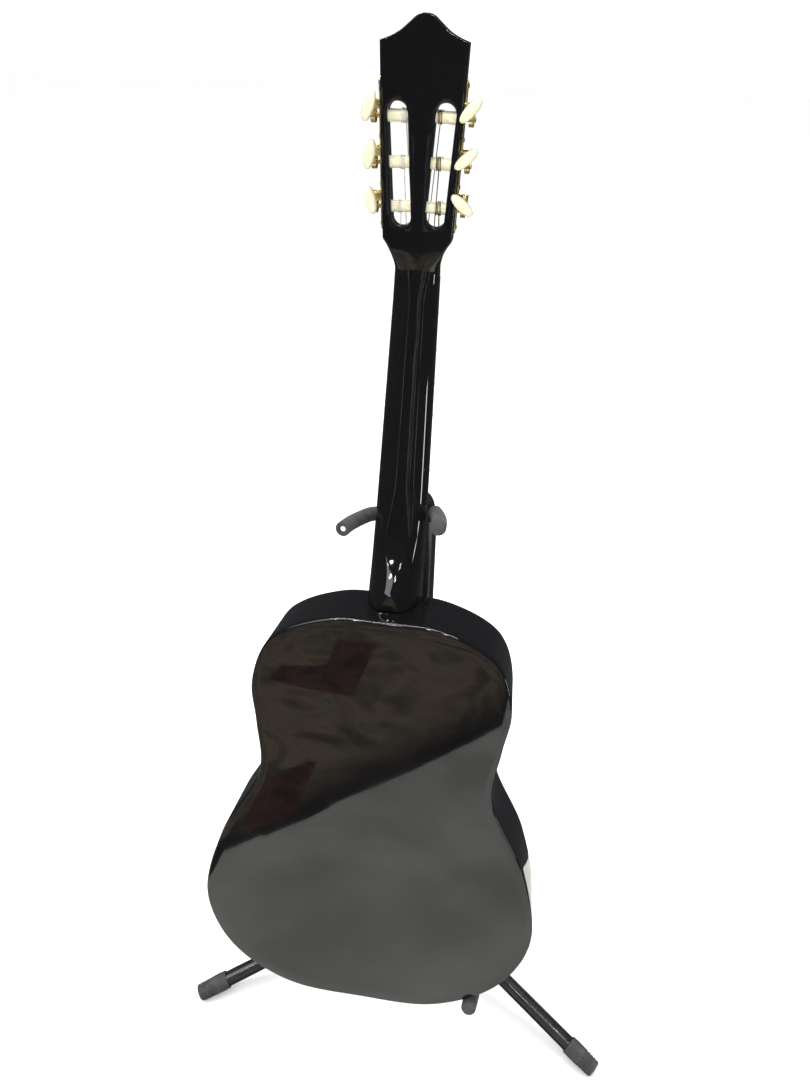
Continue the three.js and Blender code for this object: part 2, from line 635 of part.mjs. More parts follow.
function cradleBracket() {
  const sleeve = tube(18.5, LOWER_R + 0.4, CRADLE_Z - 20, CRADLE_Z + 20);
  const socket = block([-34, 34], [-CRADLE_BACK - 9, -10], [CRADLE_Z - 11, CRADLE_Z + 11]);
  const boss = cylinder(8, 15, 25, 'y', 24).translate(0, 0, CRADLE_Z);
  const right = cylinder(ARM_R + GAP, ARM_ROOT, 60, 'x', 24).applyMatrix4(cradleTilt);
  const left = cylinder(ARM_R + GAP, -60, -ARM_ROOT, 'x', 24).applyMatrix4(cradleTilt);
  const stud = cylinder(3.3, 8, 40, 'y', 16).translate(0, 0, CRADLE_Z);
  return cut(join(sleeve, socket, boss), right, left, stud, cylinder(LOWER_R + 0.4, 0, 300), cylinder(LOWER_R + GAP, 0, 300));
}

// domed end cap around the last of the rod, its open end at z = 0
function endCap(radius, bore, straight, dome) {
  const arc = [0, 22.5, 45, 67.5, 90].map(a => [radius * cos(rad(a)), straight + dome * sin(rad(a))]);
  arc[4][0] = 0;
  return turned([[0, straight], [bore, straight], [bore, 0], [radius, 0], ...arc], 20);
}

function addCradle(stand) {
  const cradle = frameAt(stand, [0, 0, 0], [0, 0, CRADLE_TURN]);
  place(cradle, 'cradle_bracket', cradleBracket(), MATERIAL.blackPlastic);
  const knobSeat = frameAt(cradle, [0, 0, CRADLE_Z], [0, 0, PI / 2]);
  place(knobSeat, 'cradle_knob', thumbKnob(LOWER_R + GAP, 28.5), MATERIAL.blackPlastic);
  const plane = frameAt(cradle, [0, -CRADLE_BACK, CRADLE_Z], [-CRADLE_SLOPE, CRADLE_ROLL, 0]);
  for (const [label, sgn] of [['right', 1], ['left', -1]]) {
    const arm = bar(armLine(sgn, ARM_ROOT + GAP, CAP_START + 3), ARM_R, 10, UP);
    place(plane, `cradle_arm_${label}`, arm, MATERIAL.blackTube);
    const foam = bar(armLine(sgn, FOAM_ROOT, CAP_START - GAP), ARM_FOAM_R, 14, UP);
    const bore = bar(armLine(sgn, FOAM_ROOT - 5, CAP_START + 5), ARM_R + GAP + 0.1, 10, UP);
    place(plane, `cradle_foam_${label}`, cut(foam, bore), MATERIAL.foam);
    const cap = place(plane, `cradle_cap_${label}`, endCap(ARM_FOAM_R - 0.2, ARM_R + GAP, 4, 6), MATERIAL.rubber);
    cap.position.set(sgn * CRADLE_HALF, -CAP_START, 0);
    cap.rotation.x = PI / 2;
  }
}

// ---------- stand: neck yoke ----------

// the bent rod from the left tip, through the head on the mast, to the right tip
const YOKE_LINE = [
  [-72, -65, 700], [-69.5, -52, 698], [-66.5, -40, 695.5], [-62, -26, 692.5], [-54.5, -15, 691.5],
  [-45, -9.8, 690.5], [-30, -8, 692], [-12, -3, 694.8], [0, -1, 696.5], [8, -7, 697.6], [12.5, -15, 698.5],
  [15.3, -27, 703], [17.6, -40, 708.6], [20, -55, 714.5], [22.2, -73, 721.5], [23.7, -90.4, 728],
];
const YOKE_FOAM_START = { left: -13, right: 13 };   // along the rod from the mast axis
const HEAD_PROFILE = [[8.6, 694], [8.4, 700], [6.9, 706], [5.2, 709.6], [3.2, 712.7], [0, 714.5]];

const yokeLine = new THREE.CatmullRomCurve3(YOKE_LINE.map(p => vec(...p)), false, 'centripetal');
const YOKE_LENGTH = yokeLine.getLength();
const YOKE_MIDDLE = YOKE_LENGTH * nearestTo(yokeLine, 0);

// fraction of a curve's length at which it crosses the plane X = x
function nearestTo(curve, x) {
  let best = 0;
  for (let u = 0; u <= 1; u += 0.001) {
    if (abs(curve.getPointAt(u).x - x) < abs(curve.getPointAt(best).x - x)) best = u;
  }
  return best;
}

// points on the rod between two distances from the mast axis, positive to the right
const yokePart = (from, to, steps) => Array.from({ length: steps + 1 }, (_, i) =>
  yokeLine.getPointAt(Math.min(Math.max((YOKE_MIDDLE + mix(from, to, i / steps)) / YOKE_LENGTH, 0), 1)));

function yokeHead() {
  const top = UPPER_Z[1] + GAP;
  const body = turned([
    [0, top - 25], [UPPER_BORE - 0.4, top - 25], [UPPER_BORE - 0.4, top], [UPPER_R, top], [UPPER_R, top + 3],
    ...HEAD_PROFILE,
  ]);
  return cut(body, bar(yokePart(-16, 16, 8), YOKE_ROD_R + 0.8, 14, UP));
}

function addYoke(stand) {
  place(stand, 'yoke_head', yokeHead(), MATERIAL.blackPlastic);
  const ends = { left: -YOKE_MIDDLE, right: YOKE_LENGTH - YOKE_MIDDLE };
  place(stand, 'yoke_rod', bar(yokePart(ends.left + 2, ends.right - 2, 26), YOKE_ROD_R, 10, UP), MATERIAL.steel);
  for (const label of ['right', 'left']) {
    const start = YOKE_FOAM_START[label];
    const foam = bar(yokePart(start, ends[label], 12), YOKE_FOAM_R, 14, UP);
    const core = yokePart(start * 0.6, ends[label], 14);
    core.push(core.at(-1).clone().lerp(core.at(-2), -0.5));
    place(stand, `yoke_foam_${label}`, cut(foam, bar(core, YOKE_ROD_R + 2 * GAP, 10, UP)), MATERIAL.foam);
  }
  const cap = place(stand, 'yoke_cap_right', endCap(YOKE_FOAM_R, YOKE_ROD_R + GAP, 2.2, 1.2), MATERIAL.rubber);
  const along = yokeLine.getTangentAt(1);
  cap.position.copy(yokeLine.getPointAt(1)).addScaledVector(along, GAP + 0.1);
  cap.quaternion.setFromUnitVectors(UP, along);
}

// ---------- assembly ----------

const stand = new THREE.Group();
addLegs(stand);
addMast(stand);
addCradle(stand);
addYoke(stand);
addGuitar(stand);

const object = new THREE.Group();
object.add(stand);
object.updateMatrixWorld(true);
const middle = new THREE.Box3().setFromObject(object, true).getCenter(new THREE.Vector3());
stand.position.set(-middle.x, -middle.y, 0);

export default object;
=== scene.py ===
from math import atan2, cos, pi, radians, sin, sqrt, tan

import bmesh
import bpy
from mathutils import Matrix, Vector


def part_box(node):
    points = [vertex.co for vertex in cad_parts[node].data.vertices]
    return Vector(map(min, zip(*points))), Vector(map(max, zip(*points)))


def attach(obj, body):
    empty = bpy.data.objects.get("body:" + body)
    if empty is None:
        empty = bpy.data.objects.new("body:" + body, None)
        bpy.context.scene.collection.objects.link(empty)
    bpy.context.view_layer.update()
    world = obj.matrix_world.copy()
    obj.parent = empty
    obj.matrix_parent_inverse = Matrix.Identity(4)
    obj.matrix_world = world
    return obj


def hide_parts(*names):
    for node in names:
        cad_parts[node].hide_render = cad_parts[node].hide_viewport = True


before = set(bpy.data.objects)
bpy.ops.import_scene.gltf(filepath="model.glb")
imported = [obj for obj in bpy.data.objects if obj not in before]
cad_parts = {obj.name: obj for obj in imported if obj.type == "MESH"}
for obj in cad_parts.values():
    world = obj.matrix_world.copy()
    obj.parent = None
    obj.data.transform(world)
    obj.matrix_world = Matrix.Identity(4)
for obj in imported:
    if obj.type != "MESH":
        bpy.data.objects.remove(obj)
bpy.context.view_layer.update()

MM = 0.001


def move(x, y, z):
    return Matrix.Translation((x, y, z))


def spin(angle, axis):
    return Matrix.Rotation(angle, 4, axis)


# ---------- frames, in millimetres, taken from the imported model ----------

low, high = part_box("mast_lower_tube")
STAND = move((low[0] + high[0]) / 2 / MM, (low[1] + high[1]) / 2 / MM, 0)
LEAN_BACK, LEAN_SIDE, TURN = radians(12.44), radians(0.85), radians(1.96)
GUITAR = (STAND @ move(-22.8, -219.0, 192.4) @ spin(TURN, "Z")
          @ spin(pi / 2 - LEAN_BACK, "X") @ spin(-LEAN_SIDE, "Z"))
LENGTH, DEPTH, NUT_Y, GLUE = 454.0, 77.0, 769.0, -77.3
HEAD_TILT, HEAD_THICK = radians(14.4), 16.0
HEAD = GUITAR @ move(0, NUT_Y, GLUE) @ spin(HEAD_TILT, "X")
X_AXIS = spin(pi / 2, "Y")

# ---------- mesh helpers ----------


def linked(name, data):
    obj = bpy.data.objects.new(name, data)
    bpy.context.scene.collection.objects.link(obj)
    return obj


def raw(name, verts, faces, where, merge=0.0):
    """Bare mesh object from points in millimetres in the frame `where`."""
    mesh = bpy.data.meshes.new(name)
    mesh.from_pydata([MM * (where @ Vector(v)) for v in verts], [], faces)
    bm = bmesh.new()
    bm.from_mesh(mesh)
    if merge:
        bmesh.ops.remove_doubles(bm, verts=bm.verts, dist=merge)
    bmesh.ops.recalc_face_normals(bm, faces=bm.faces)
    bm.to_mesh(mesh)
    bm.free()
    return linked(name, mesh)


def solid(name, verts, faces, where, material, body, slot, node=(), sharp=35):
    """Finished piece from a closed mesh."""
    obj = raw(name, verts, faces, where, merge=2e-6)
    finish(obj, material, body, node, sharp)
    return obj


def finish(obj, material, body, node=(), sharp=35):
    """Gives a piece its material or materials, its body and the CAD nodes that it replaces."""
    for m in material if isinstance(material, list) else [material]:
        obj.data.materials.append(m)
    obj.data.shade_smooth()
    obj.data.set_sharp_from_angle(angle=radians(sharp))
    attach(obj, body)
    nodes = (node,) if isinstance(node, str) else tuple(node)
    if nodes:
        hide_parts(*nodes)


def skin(rings, closed=False):
    """Faces through rings of equal count; `closed` joins the last ring to the first."""
    n = len(rings[0])
    verts = [p for ring in rings for p in ring]
    faces = []
    last = len(rings) if closed else len(rings) - 1
    for k in range(last):
        a, b = k * n, (k + 1) % len(rings) * n
        faces += [(a + i, a + (i + 1) % n, b + (i + 1) % n, b + i) for i in range(n)]
    if not closed:
        faces.append(tuple(range(n))[::-1])
        faces.append(tuple((len(rings) - 1) * n + i for i in range(n)))
    return verts, faces


def lathe(profile, n=64):
    """Rings about Z from (r, z) pairs."""
    return [[(r * cos(2 * pi * i / n), r * sin(2 * pi * i / n), z) for i in range(n)] for r, z in profile]


def turned(name, profile, where, material, body, slot, node=(), n=64, sharp=35, closed=False):
    """Piece turned about Z; `closed` is for a profile that is itself a loop, as of a tube."""
    verts, faces = skin(lathe(profile, n), closed=closed)
    return solid(name, verts, faces, where, material, body, slot, node, sharp)


def rounded(r, z0, z1, edge):
    """Lathe profile of a rod from z0 to z1 with rounded edges."""
    step = [i * pi / 10 for i in range(6)]
    return ([(max(r - edge + edge * sin(a), 0), z0 + edge - edge * cos(a)) for a in step]
            + [(r - edge + edge * cos(a), z1 - edge + edge * sin(a)) for a in step])


def pipe(r, bore, z0, z1, edge=0.4):
    """Closed profile of a tube with softened edges."""
    return [(bore, z0 + edge), (bore + edge, z0), (r - edge, z0), (r, z0 + edge),
            (r, z1 - edge), (r - edge, z1), (bore + edge, z1), (bore, z1 - edge)]


def smooth_line(points, per=10):
    """Centripetal-like Catmull-Rom samples through points."""
    pts = [Vector(p) for p in points]
    out = []
    for k in range(len(pts) - 1):
        p1, p2 = pts[k], pts[k + 1]
        p0 = pts[k - 1] if k else p1 * 2 - p2
        p3 = pts[k + 2] if k + 2 < len(pts) else p2 * 2 - p1
        d0, d1, d2 = (sqrt(max((b - a).length, 1e-6)) for a, b in ((p0, p1), (p1, p2), (p2, p3)))
        m1 = ((p1 - p0) / d0 - (p2 - p0) / (d0 + d1) + (p2 - p1) / d1) * d1
        m2 = ((p2 - p1) / d1 - (p3 - p1) / (d1 + d2) + (p3 - p2) / d2) * d1
        for i in range(per):
            t = i / per
            out.append(p1 * (2 * t**3 - 3 * t**2 + 1) + m1 * (t**3 - 2 * t**2 + t)
                       + p2 * (3 * t**2 - 2 * t**3) + m2 * (t**3 - t**2))
    return out + [pts[-1]]


def resample(line, step):
    """Points along a polyline at an even step."""
    total = sum((b - a).length for a, b in zip(line, line[1:]))
    count = max(round(total / step), 1)
    out, k, done = [], 0, 0.0
    for i in range(count + 1):
        goal = total * i / count
        while k < len(line) - 2 and done + (line[k + 1] - line[k]).length < goal:
            done += (line[k + 1] - line[k]).length
            k += 1
        seg = line[k + 1] - line[k]
        out.append(line[k] + seg * min(max((goal - done) / max(seg.length, 1e-9), 0), 1))
    return out


def rings_along(line, radius, n, up=(0, 0, 1)):
    """Rings of `radius` along a line."""
    up = Vector(up)
    out = []
    for k, p in enumerate(line):
        t = (line[min(k + 1, len(line) - 1)] - line[max(k - 1, 0)]).normalized()
        x = (up - t * up.dot(t)).normalized()
        y = t.cross(x)
        out.append([p + x * (radius * cos(2 * pi * i / n)) + y * (radius * sin(2 * pi * i / n)) for i in range(n)])
    return out


def end_tangents(line):
    return (line[0] - line[1]).normalized(), (line[-1] - line[-2]).normalized()


def rod(name, line, radius, where, material, body, slot, node=(), n=40, up=(0, 0, 1), edge=0.6):
    """Solid bar along a line with rounded ends."""
    t0, t1 = end_tangents(line)
    rings = rings_along(line, radius, n, up)
    first = [[line[0] + (Vector(p) - line[0]) * f + t0 * d for p in rings[0]]
             for f, d in ((1 - edge / radius, edge), (1 - 0.3 * edge / radius, 0.7 * edge))]
    last = [[line[-1] + (Vector(p) - line[-1]) * f + t1 * d for p in rings[-1]]
            for f, d in ((1 - 0.3 * edge / radius, 0.7 * edge), (1 - edge / radius, edge))]
    verts, faces = skin(first + rings + last)
    return solid(name, verts, faces, where, material, body, slot, node)


def sleeve(name, line, radius, bore, where, body, node, n=48, edge=1.0):
    """Foam sleeve: a tube along a line with softly rounded ends and a bore."""
    outer, inner = rings_along(line, radius, n), rings_along(line, bore, n)
    t0, t1 = end_tangents(line)

    def lip(centre, ring, r, d, t):
        return [centre + (Vector(p) - centre) * (r / radius) + t * d for p in ring]

    end0 = [lip(line[0], outer[0], r, d, t0) for r, d in
            ((bore + edge, edge * 0.9), (radius - edge, edge), (radius - 0.3 * edge, 0.7 * edge))]
    end1 = [lip(line[-1], outer[-1], r, d, t1) for r, d in
            ((radius - 0.3 * edge, 0.7 * edge), (radius - edge, edge), (bore + edge, edge * 0.9))]
    rings = end0 + outer + end1 + inner[::-1]
    verts, faces = skin(rings, closed=True)
    solid(name, verts, faces, where, FOAM, body, "foam", node, sharp=50)


def blockish(name, size, where, material, body, slot, node=(), bevel=1.0):
    """Box with rounded edges, centred in its frame."""
    mesh = bpy.data.meshes.new(name)
    bm = bmesh.new()
    bmesh.ops.create_cube(bm, size=1)
    bmesh.ops.scale(bm, vec=Vector(size), verts=bm.verts)
    bmesh.ops.bevel(bm, geom=bm.edges[:], offset=bevel, segments=3, affect="EDGES", profile=0.5)
    bmesh.ops.transform(bm, matrix=Matrix.Scale(MM, 4) @ where, verts=bm.verts)
    bm.to_mesh(mesh)
    bm.free()
    finish(linked(name, mesh), material, body, node)


def prism(outline, z0, z1, edge=0.6):
    """Rings of an extruded convex-ish outline with softened edges, outline as (x, y) pairs."""
    n = len(outline)
    normals = []
    for i in range(n):
        a, b = Vector(outline[i - 1]), Vector(outline[(i + 1) % n])
        t = (b - a).normalized()
        normals.append(Vector((t.y, -t.x)))

    def ring(inset, z):
        return [(*(Vector(p) - nrm * inset), z) for p, nrm in zip(outline, normals)]

    return [ring(edge, z0), ring(0.3 * edge, z0 + 0.3 * edge), ring(0, z0 + edge),
            ring(0, z1 - edge), ring(0.3 * edge, z1 - 0.3 * edge), ring(edge, z1)]


def along(p, q):
    """Frame at p with Z towards q."""
    p, q = Vector(p), Vector(q)
    return Matrix.Translation(p) @ (q - p).to_track_quat("Z", "Y").to_matrix().to_4x4()


def subtract(obj, tools):
    """Cuts the tool objects out of obj and removes them."""
    for tool in tools:
        mod = obj.modifiers.new("cut", "BOOLEAN")
        mod.operation, mod.solver, mod.object = "DIFFERENCE", "EXACT", tool
    graph = bpy.context.evaluated_depsgraph_get()
    mesh = bpy.data.meshes.new_from_object(obj.evaluated_get(graph), depsgraph=graph)
    obj.modifiers.clear()
    obj.data = mesh
    for tool in tools:
        bpy.data.objects.remove(tool)


# ---------- materials ----------


class Paint:
    """A principled material with a few node shortcuts."""

    def __init__(self, name, color, rough, metal=0.0, **sockets):
        self.mat = bpy.data.materials.new(name)
        self.mat.use_nodes = True
        self.nodes = self.mat.node_tree.nodes
        self.links = self.mat.node_tree.links
        self.bsdf = self.nodes["Principled BSDF"]
        self.set("Base Color", (*color, 1))
        self.set("Roughness", rough)
        self.set("Metallic", metal)
        for key, value in sockets.items():
            self.set(key.replace("_", " "), value)
        self.coord = self.nodes.new("ShaderNodeTexCoord").outputs["Object"]

    def set(self, socket, value):
        self.bsdf.inputs[socket].default_value = value

    def node(self, kind, output, inputs, **settings):
        """The named output of a new node; an input is a value, or an output to link from."""
        node = self.nodes.new("ShaderNode" + kind)
        for key, value in settings.items():
            setattr(node, key, value)
        for key, value in inputs.items():
            if isinstance(value, bpy.types.NodeSocket):
                self.links.new(value, node.inputs[key])
            else:
                node.inputs[key].default_value = value
        return node.outputs[output]

    def noise(self, scale, detail=4, rough=0.5, stretch=None, distortion=0.0):
        at = self.node("Mapping", "Vector", {"Scale": stretch, "Vector": self.coord}) if stretch else self.coord
        return self.node("TexNoise", "Fac", {"Scale": scale, "Detail": detail, "Roughness": rough,
                                             "Distortion": distortion, "Vector": at})

    def cells(self, scale):
        return self.node("TexVoronoi", "Distance", {"Scale": scale, "Vector": self.coord})

    def ramp(self, fac, stops):
        node = self.nodes.new("ShaderNodeValToRGB")
        els = node.color_ramp.elements
        while len(els) < len(stops):
            els.new(0.5)
        for el, (pos, col) in zip(els, stops):
            el.position = pos
            el.color = (*col, 1) if isinstance(col, tuple) else (col, col, col, 1)
        self.links.new(fac, node.inputs["Fac"])
        return node.outputs["Color"]

    def color(self, output):
        self.links.new(output, self.bsdf.inputs["Base Color"])

    def rough(self, output):
        self.links.new(output, self.bsdf.inputs["Roughness"])

    def glow(self, output):
        self.links.new(output, self.bsdf.inputs["Emission Color"])

    def bump(self, *layers):
        """Layers of (height output, strength, distance)."""
        under = {}
        for height, strength, distance in layers:
            inputs = {"Strength": strength, "Distance": distance, "Height": height, **under}
            under = {"Normal": self.node("Bump", "Normal", inputs)}
        self.links.new(under["Normal"], self.bsdf.inputs["Normal"])


def lacquer(name="black_lacquer", wave=0.15):
    """Black high-gloss lacquer with faint haze, a slow orange-peel ripple and a few dust specks."""
    black = (0.004, 0.004, 0.0045)
    p = Paint(name, black, 0.05, IOR=1.52, Coat_Weight=0.6, Coat_Roughness=0.02)
    specks = p.ramp(p.cells(70), [(0.0, 1.0), (0.02, 1.0), (0.032, 0.0)])
    pick = p.ramp(p.noise(26, 2), [(0.66, 0.0), (0.70, 1.0)])
    both = p.node("Math", "Value", {0: specks, 1: pick}, operation="MULTIPLY")
    p.color(p.node("Mix", "Result", {"Factor": both, "A": (*black, 1), "B": (0.4, 0.4, 0.38, 1)}, data_type="RGBA"))
    p.rough(p.ramp(p.noise(9, 5, 0.6), [(0.35, 0.03), (0.62, 0.06), (0.8, 0.1)]))
    p.bump((p.noise(60, 2), 0.3 * wave, 0.0004), (p.noise(7, 1), wave, 0.0012))
    return p.mat


def tube_paint():
    """Satin black stove enamel on steel tube, with fine grain and long draw marks."""
    p = Paint("black_tube_paint", (0.012, 0.012, 0.013), 0.3, IOR=1.5, Coat_Weight=0.8, Coat_Roughness=0.1)
    p.color(p.ramp(p.noise(30, 4), [(0.3, (0.009, 0.009, 0.01)), (0.75, (0.02, 0.02, 0.021))]))
    p.rough(p.ramp(p.noise(55, 5, 0.65), [(0.3, 0.23), (0.7, 0.3)]))
    p.bump((p.noise(900, 2), 0.05, 0.0002), (p.noise(14, 2), 0.06, 0.0005))
    return p.mat


def moulded():
    """Moulded black plastic with a fine spark-eroded grain."""
    tone, rough = 0.014, 0.5
    p = Paint("black_plastic", (tone, tone, tone), rough, IOR=1.48)
    p.color(p.ramp(p.noise(40, 5), [(0.3, tone * 0.8), (0.75, tone * 1.5)]))
    p.rough(p.ramp(p.noise(70, 4), [(0.3, rough - 0.1), (0.7, rough + 0.1)]))
    p.bump((p.noise(1400, 3), 0.35, 0.0003), (p.cells(700), 0.1, 0.0002))
    return p.mat


def foam():
    """Grey closed-cell foam, skinned, with pores, scuffs and a dry sheen."""
    p = Paint("grey_foam", (0.06, 0.06, 0.06), 0.92, Sheen_Weight=0.08, Sheen_Roughness=0.5, IOR=1.35)
    p.color(p.ramp(p.noise(90, 8, 0.7), [(0.3, (0.024, 0.025, 0.024)), (0.55, (0.047, 0.05, 0.047)),
                                         (0.8, (0.096, 0.1, 0.094))]))
    p.bump((p.noise(650, 6, 0.7), 0.6, 0.0007), (p.cells(900), 0.4, 0.0005), (p.noise(60, 3), 0.25, 0.0012))
    return p.mat


def rubber():
    """Dark moulded rubber, greyed by dust in its low spots."""
    p = Paint("foot_rubber", (0.03, 0.03, 0.03), 0.72, IOR=1.5)
    p.color(p.ramp(p.noise(70, 7, 0.65), [(0.3, (0.028, 0.028, 0.028)), (0.6, (0.055, 0.055, 0.054)),
                                          (0.85, (0.12, 0.12, 0.116))]))
    p.rough(p.ramp(p.noise(120, 5), [(0.3, 0.6), (0.7, 0.85)]))
    p.bump((p.noise(800, 4), 0.35, 0.0004), (p.noise(90, 4), 0.2, 0.0007))
    return p.mat


def gold(name, color, rough, scale):
    """Plated brass with patchy tarnish and fine scratches."""
    p = Paint(name, color, rough, 1.0)
    dark = tuple(c * 0.45 for c in color)
    bright = tuple(min(c * 1.15, 1) for c in color)
    p.color(p.ramp(p.noise(scale, 6, 0.65), [(0.3, dark), (0.5, color), (0.85, bright)]))
    p.rough(p.ramp(p.noise(scale * 2, 5), [(0.3, rough * 0.7), (0.75, rough * 1.9)]))
    p.bump((p.noise(500, 3, 0.5, (1, 1, 0.2)), 0.15, 0.0002), (p.noise(scale, 3), 0.15, 0.0004))
    return p.mat


def pearl():
    """Cream pearloid plastic: swirled bright and dull flakes under a clear skin."""
    p = Paint("cream_pearl", (0.8, 0.73, 0.55), 0.24, IOR=1.5, Coat_Weight=0.7, Coat_Roughness=0.08,
              Subsurface_Weight=0.12, Subsurface_Scale=0.004)
    p.color(p.ramp(p.noise(170, 5, 0.6, None, 2.2), [(0.25, (0.6, 0.56, 0.38)), (0.5, (0.71, 0.67, 0.47)),
                                                     (0.75, (0.79, 0.76, 0.58))]))
    p.rough(p.ramp(p.noise(120, 3), [(0.3, 0.16), (0.7, 0.34)]))
    p.bump((p.noise(240, 3), 0.1, 0.0002))
    return p.mat


def timber(name, dark, light, scale, stretch, rough):
    """Wood with stretched grain and short pores."""
    p = Paint(name, light, rough, IOR=1.45)
    grain = p.noise(scale, 8, 0.6, stretch, 0.6)
    p.color(p.ramp(grain, [(0.25, dark), (0.5, tuple((a + b) / 2 for a, b in zip(dark, light))), (0.75, light)]))
    p.rough(p.ramp(grain, [(0.3, rough + 0.1), (0.7, rough - 0.08)]))
    p.bump((grain, 0.3, 0.0003), (p.noise(scale * 5, 4, 0.6, stretch), 0.2, 0.0002))
    return p.mat


def plain(name, color, rough, metal=0.0, **sockets):
    """Small fittings: colour and gloss that vary a little, with a fine surface grain."""
    scale, spread = 80, 0.15
    p = Paint(name, color, rough, metal, **sockets)
    p.color(p.ramp(p.noise(scale, 5), [(0.3, tuple(c * (1 - spread) for c in color)),
                                       (0.75, tuple(min(c * (1 + spread), 1) for c in color))]))
    p.rough(p.ramp(p.noise(scale * 1.7, 4), [(0.3, rough * 0.8), (0.75, min(rough * 1.3, 1))]))
    p.bump((p.noise(600, 3), 0.15, 0.0002))
    return p.mat


def wound():
    """Bass string: fine bright windings, browned in patches."""
    p = Paint("wound_string", (0.6, 0.45, 0.25), 0.35, 1.0)
    wave = p.node("TexWave", "Fac", {"Scale": 800, "Vector": p.coord}, wave_type="BANDS", bands_direction="Z")
    p.color(p.ramp(p.noise(30, 5), [(0.3, (0.3, 0.19, 0.09)), (0.7, (0.72, 0.55, 0.32))]))
    p.bump((wave, 0.6, 0.0002))
    return p.mat


LACQUER = lacquer()
NECK_LACQUER = lacquer("black_lacquer_neck", 0.7)
TUBE = tube_paint()
PLASTIC = moulded()
FOAM = foam()
RUBBER = rubber()
GOLD = gold("gold_plate", (0.92, 0.76, 0.36), 0.3, 120)
BRASS = gold("worn_brass", (0.8, 0.66, 0.34), 0.36, 200)
PEARL = pearl()
FRETWOOD = timber("dark_fretwood", (0.012, 0.008, 0.006), (0.05, 0.032, 0.022), 40, (6, 1, 1), 0.5)
BARE = timber("bare_spruce", (0.42, 0.28, 0.14), (0.66, 0.5, 0.3), 30, (8, 8, 1), 0.75)
BONE = plain("white_nut", (0.78, 0.74, 0.62), 0.35, Subsurface_Weight=0.1, Subsurface_Scale=0.003)
NYLON = plain("clear_nylon", (0.8, 0.79, 0.7), 0.3, Transmission_Weight=0.25, IOR=1.5)
ZINC = plain("zinc_end", (0.86, 0.86, 0.87), 0.5, 0.25)
WOUND = wound()
STEEL = plain("bright_steel", (0.62, 0.62, 0.63), 0.22, 1.0)
NICKEL = plain("fret_nickel", (0.66, 0.64, 0.6), 0.24, 1.0)

# material, body and slot of pieces that share them
BASE_PLASTIC = (PLASTIC, "stand_base", "black_plastic")
GOLD_FITTING = (GOLD, "guitar", "gold_metal")
DARK_WOOD = (FRETWOOD, "guitar", "dark_wood")
WHITE_BONE = (BONE, "guitar", "bone")

# ---------- guitar body ----------

HALF = [(81.9, 5.5), (146.5, 44.6), (175.7, 108), (158.3, 194.3), (119, 275.6),
        (123.1, 331.3), (128, 376.4), (109.7, 425), (53.8, 452.2)]


def outline(count=240):
    """The body's outline, evenly stepped, from the tail round by the right."""
    per = 16
    ring = [(0, 0)] + HALF + [(0, LENGTH)] + [(-x, y) for x, y in HALF[::-1]]
    line = smooth_line([(x, y, 0) for x, y in ring[-1:] + ring + ring[:3]], per)
    closed = line[per:per + per * len(ring) + 1]
    step = sum((b - a).length for a, b in zip(closed, closed[1:])) / count
    return [Vector((p.x, p.y)) for p in resample(closed, step)][:-1]


OUTLINE = outline()
NORMALS = []
for i, p in enumerate(OUTLINE):
    t = (OUTLINE[(i + 1) % len(OUTLINE)] - OUTLINE[i - 1]).normalized()
    NORMALS.append(Vector((t.y, -t.x)))
HOLE, HOLE_R = Vector((0, 302)), 43.5
CENTRE = Vector((0, 225))


def inset(d, z):
    """The outline drawn in by d, at height z; the back is at 0 and the front at -DEPTH."""
    return [(*(p - n * d), z) for p, n in zip(OUTLINE, NORMALS)]


def domed(ring, k, z, rise):
    """The ring shrunk to k of its size and lifted to a shallow dome."""
    return [(*(CENTRE + (Vector(p[:2]) - CENTRE) * k), z + rise * (1 - k * k)) for p in ring]


def body_shell():
    """Back, sides and front as one lacquered shell, bare wood inside."""
    edge, top_thick, side_thick, back_thick = 2.4, 2.8, 2.4, 2.6
    back = inset(edge, 0)
    rings = [domed(back, k, 0.0, 0.9) for k in [0.02, 0.07, 0.14] + [0.2 + 0.05 * i for i in range(16)]]
    rings.append(back)
    rings += [inset(edge * (1 - sin(a)), -edge * (1 - cos(a))) for a in (pi / 8, pi / 4, 3 * pi / 8, pi / 2)]
    rings += [inset(0, -z) for z in (12, 25, 38, 51, 64)]
    rings += [inset(edge * (1 - cos(a)), -DEPTH + edge * (1 - sin(a)))
              for a in (0, pi / 8, pi / 4, 3 * pi / 8, pi / 2)]
    top = inset(edge, -DEPTH)
    circle = [HOLE + (p - HOLE).normalized() * HOLE_R for p in OUTLINE]

    def between(t, z):
        return [(*(Vector(p[:2]) * (1 - t) + c * t), z) for p, c in zip(top, circle)]

    rings += [between(t, -DEPTH) for t in (0.12, 0.25, 0.4, 0.55, 0.7, 0.85, 0.95, 1.0)]
    under_top = -DEPTH + top_thick
    rings += [between(1.0, -DEPTH + 1.4), between(1.0, under_top), between(0.5, under_top)]
    inner = inset(side_thick, -back_thick)
    rings += [inset(side_thick, under_top), inner]
    rings += [domed(inner, k, -back_thick, 0.8) for k in (0.7, 0.35, 0.02)]
    verts, faces = skin(rings)
    obj = solid("body_shell", verts, faces, GUITAR, [LACQUER, BARE], "guitar", "lacquer",
                ("back_plate", "side_rim", "soundboard"), sharp=40)
    to_back = (GUITAR.to_3x3() @ Vector((0, 0, 1))).normalized()
    for face in obj.data.polygons:
        z = (GUITAR.inverted() @ (face.center / MM)).z
        facing = face.normal.dot(to_back)
        inside_top = -DEPTH + 0.2 < z < -DEPTH + 3.5 and facing > 0.9
        inside_back = abs(z + back_thick) < 2.5 and facing < -0.9
        if inside_top or inside_back:
            face.material_index = 1


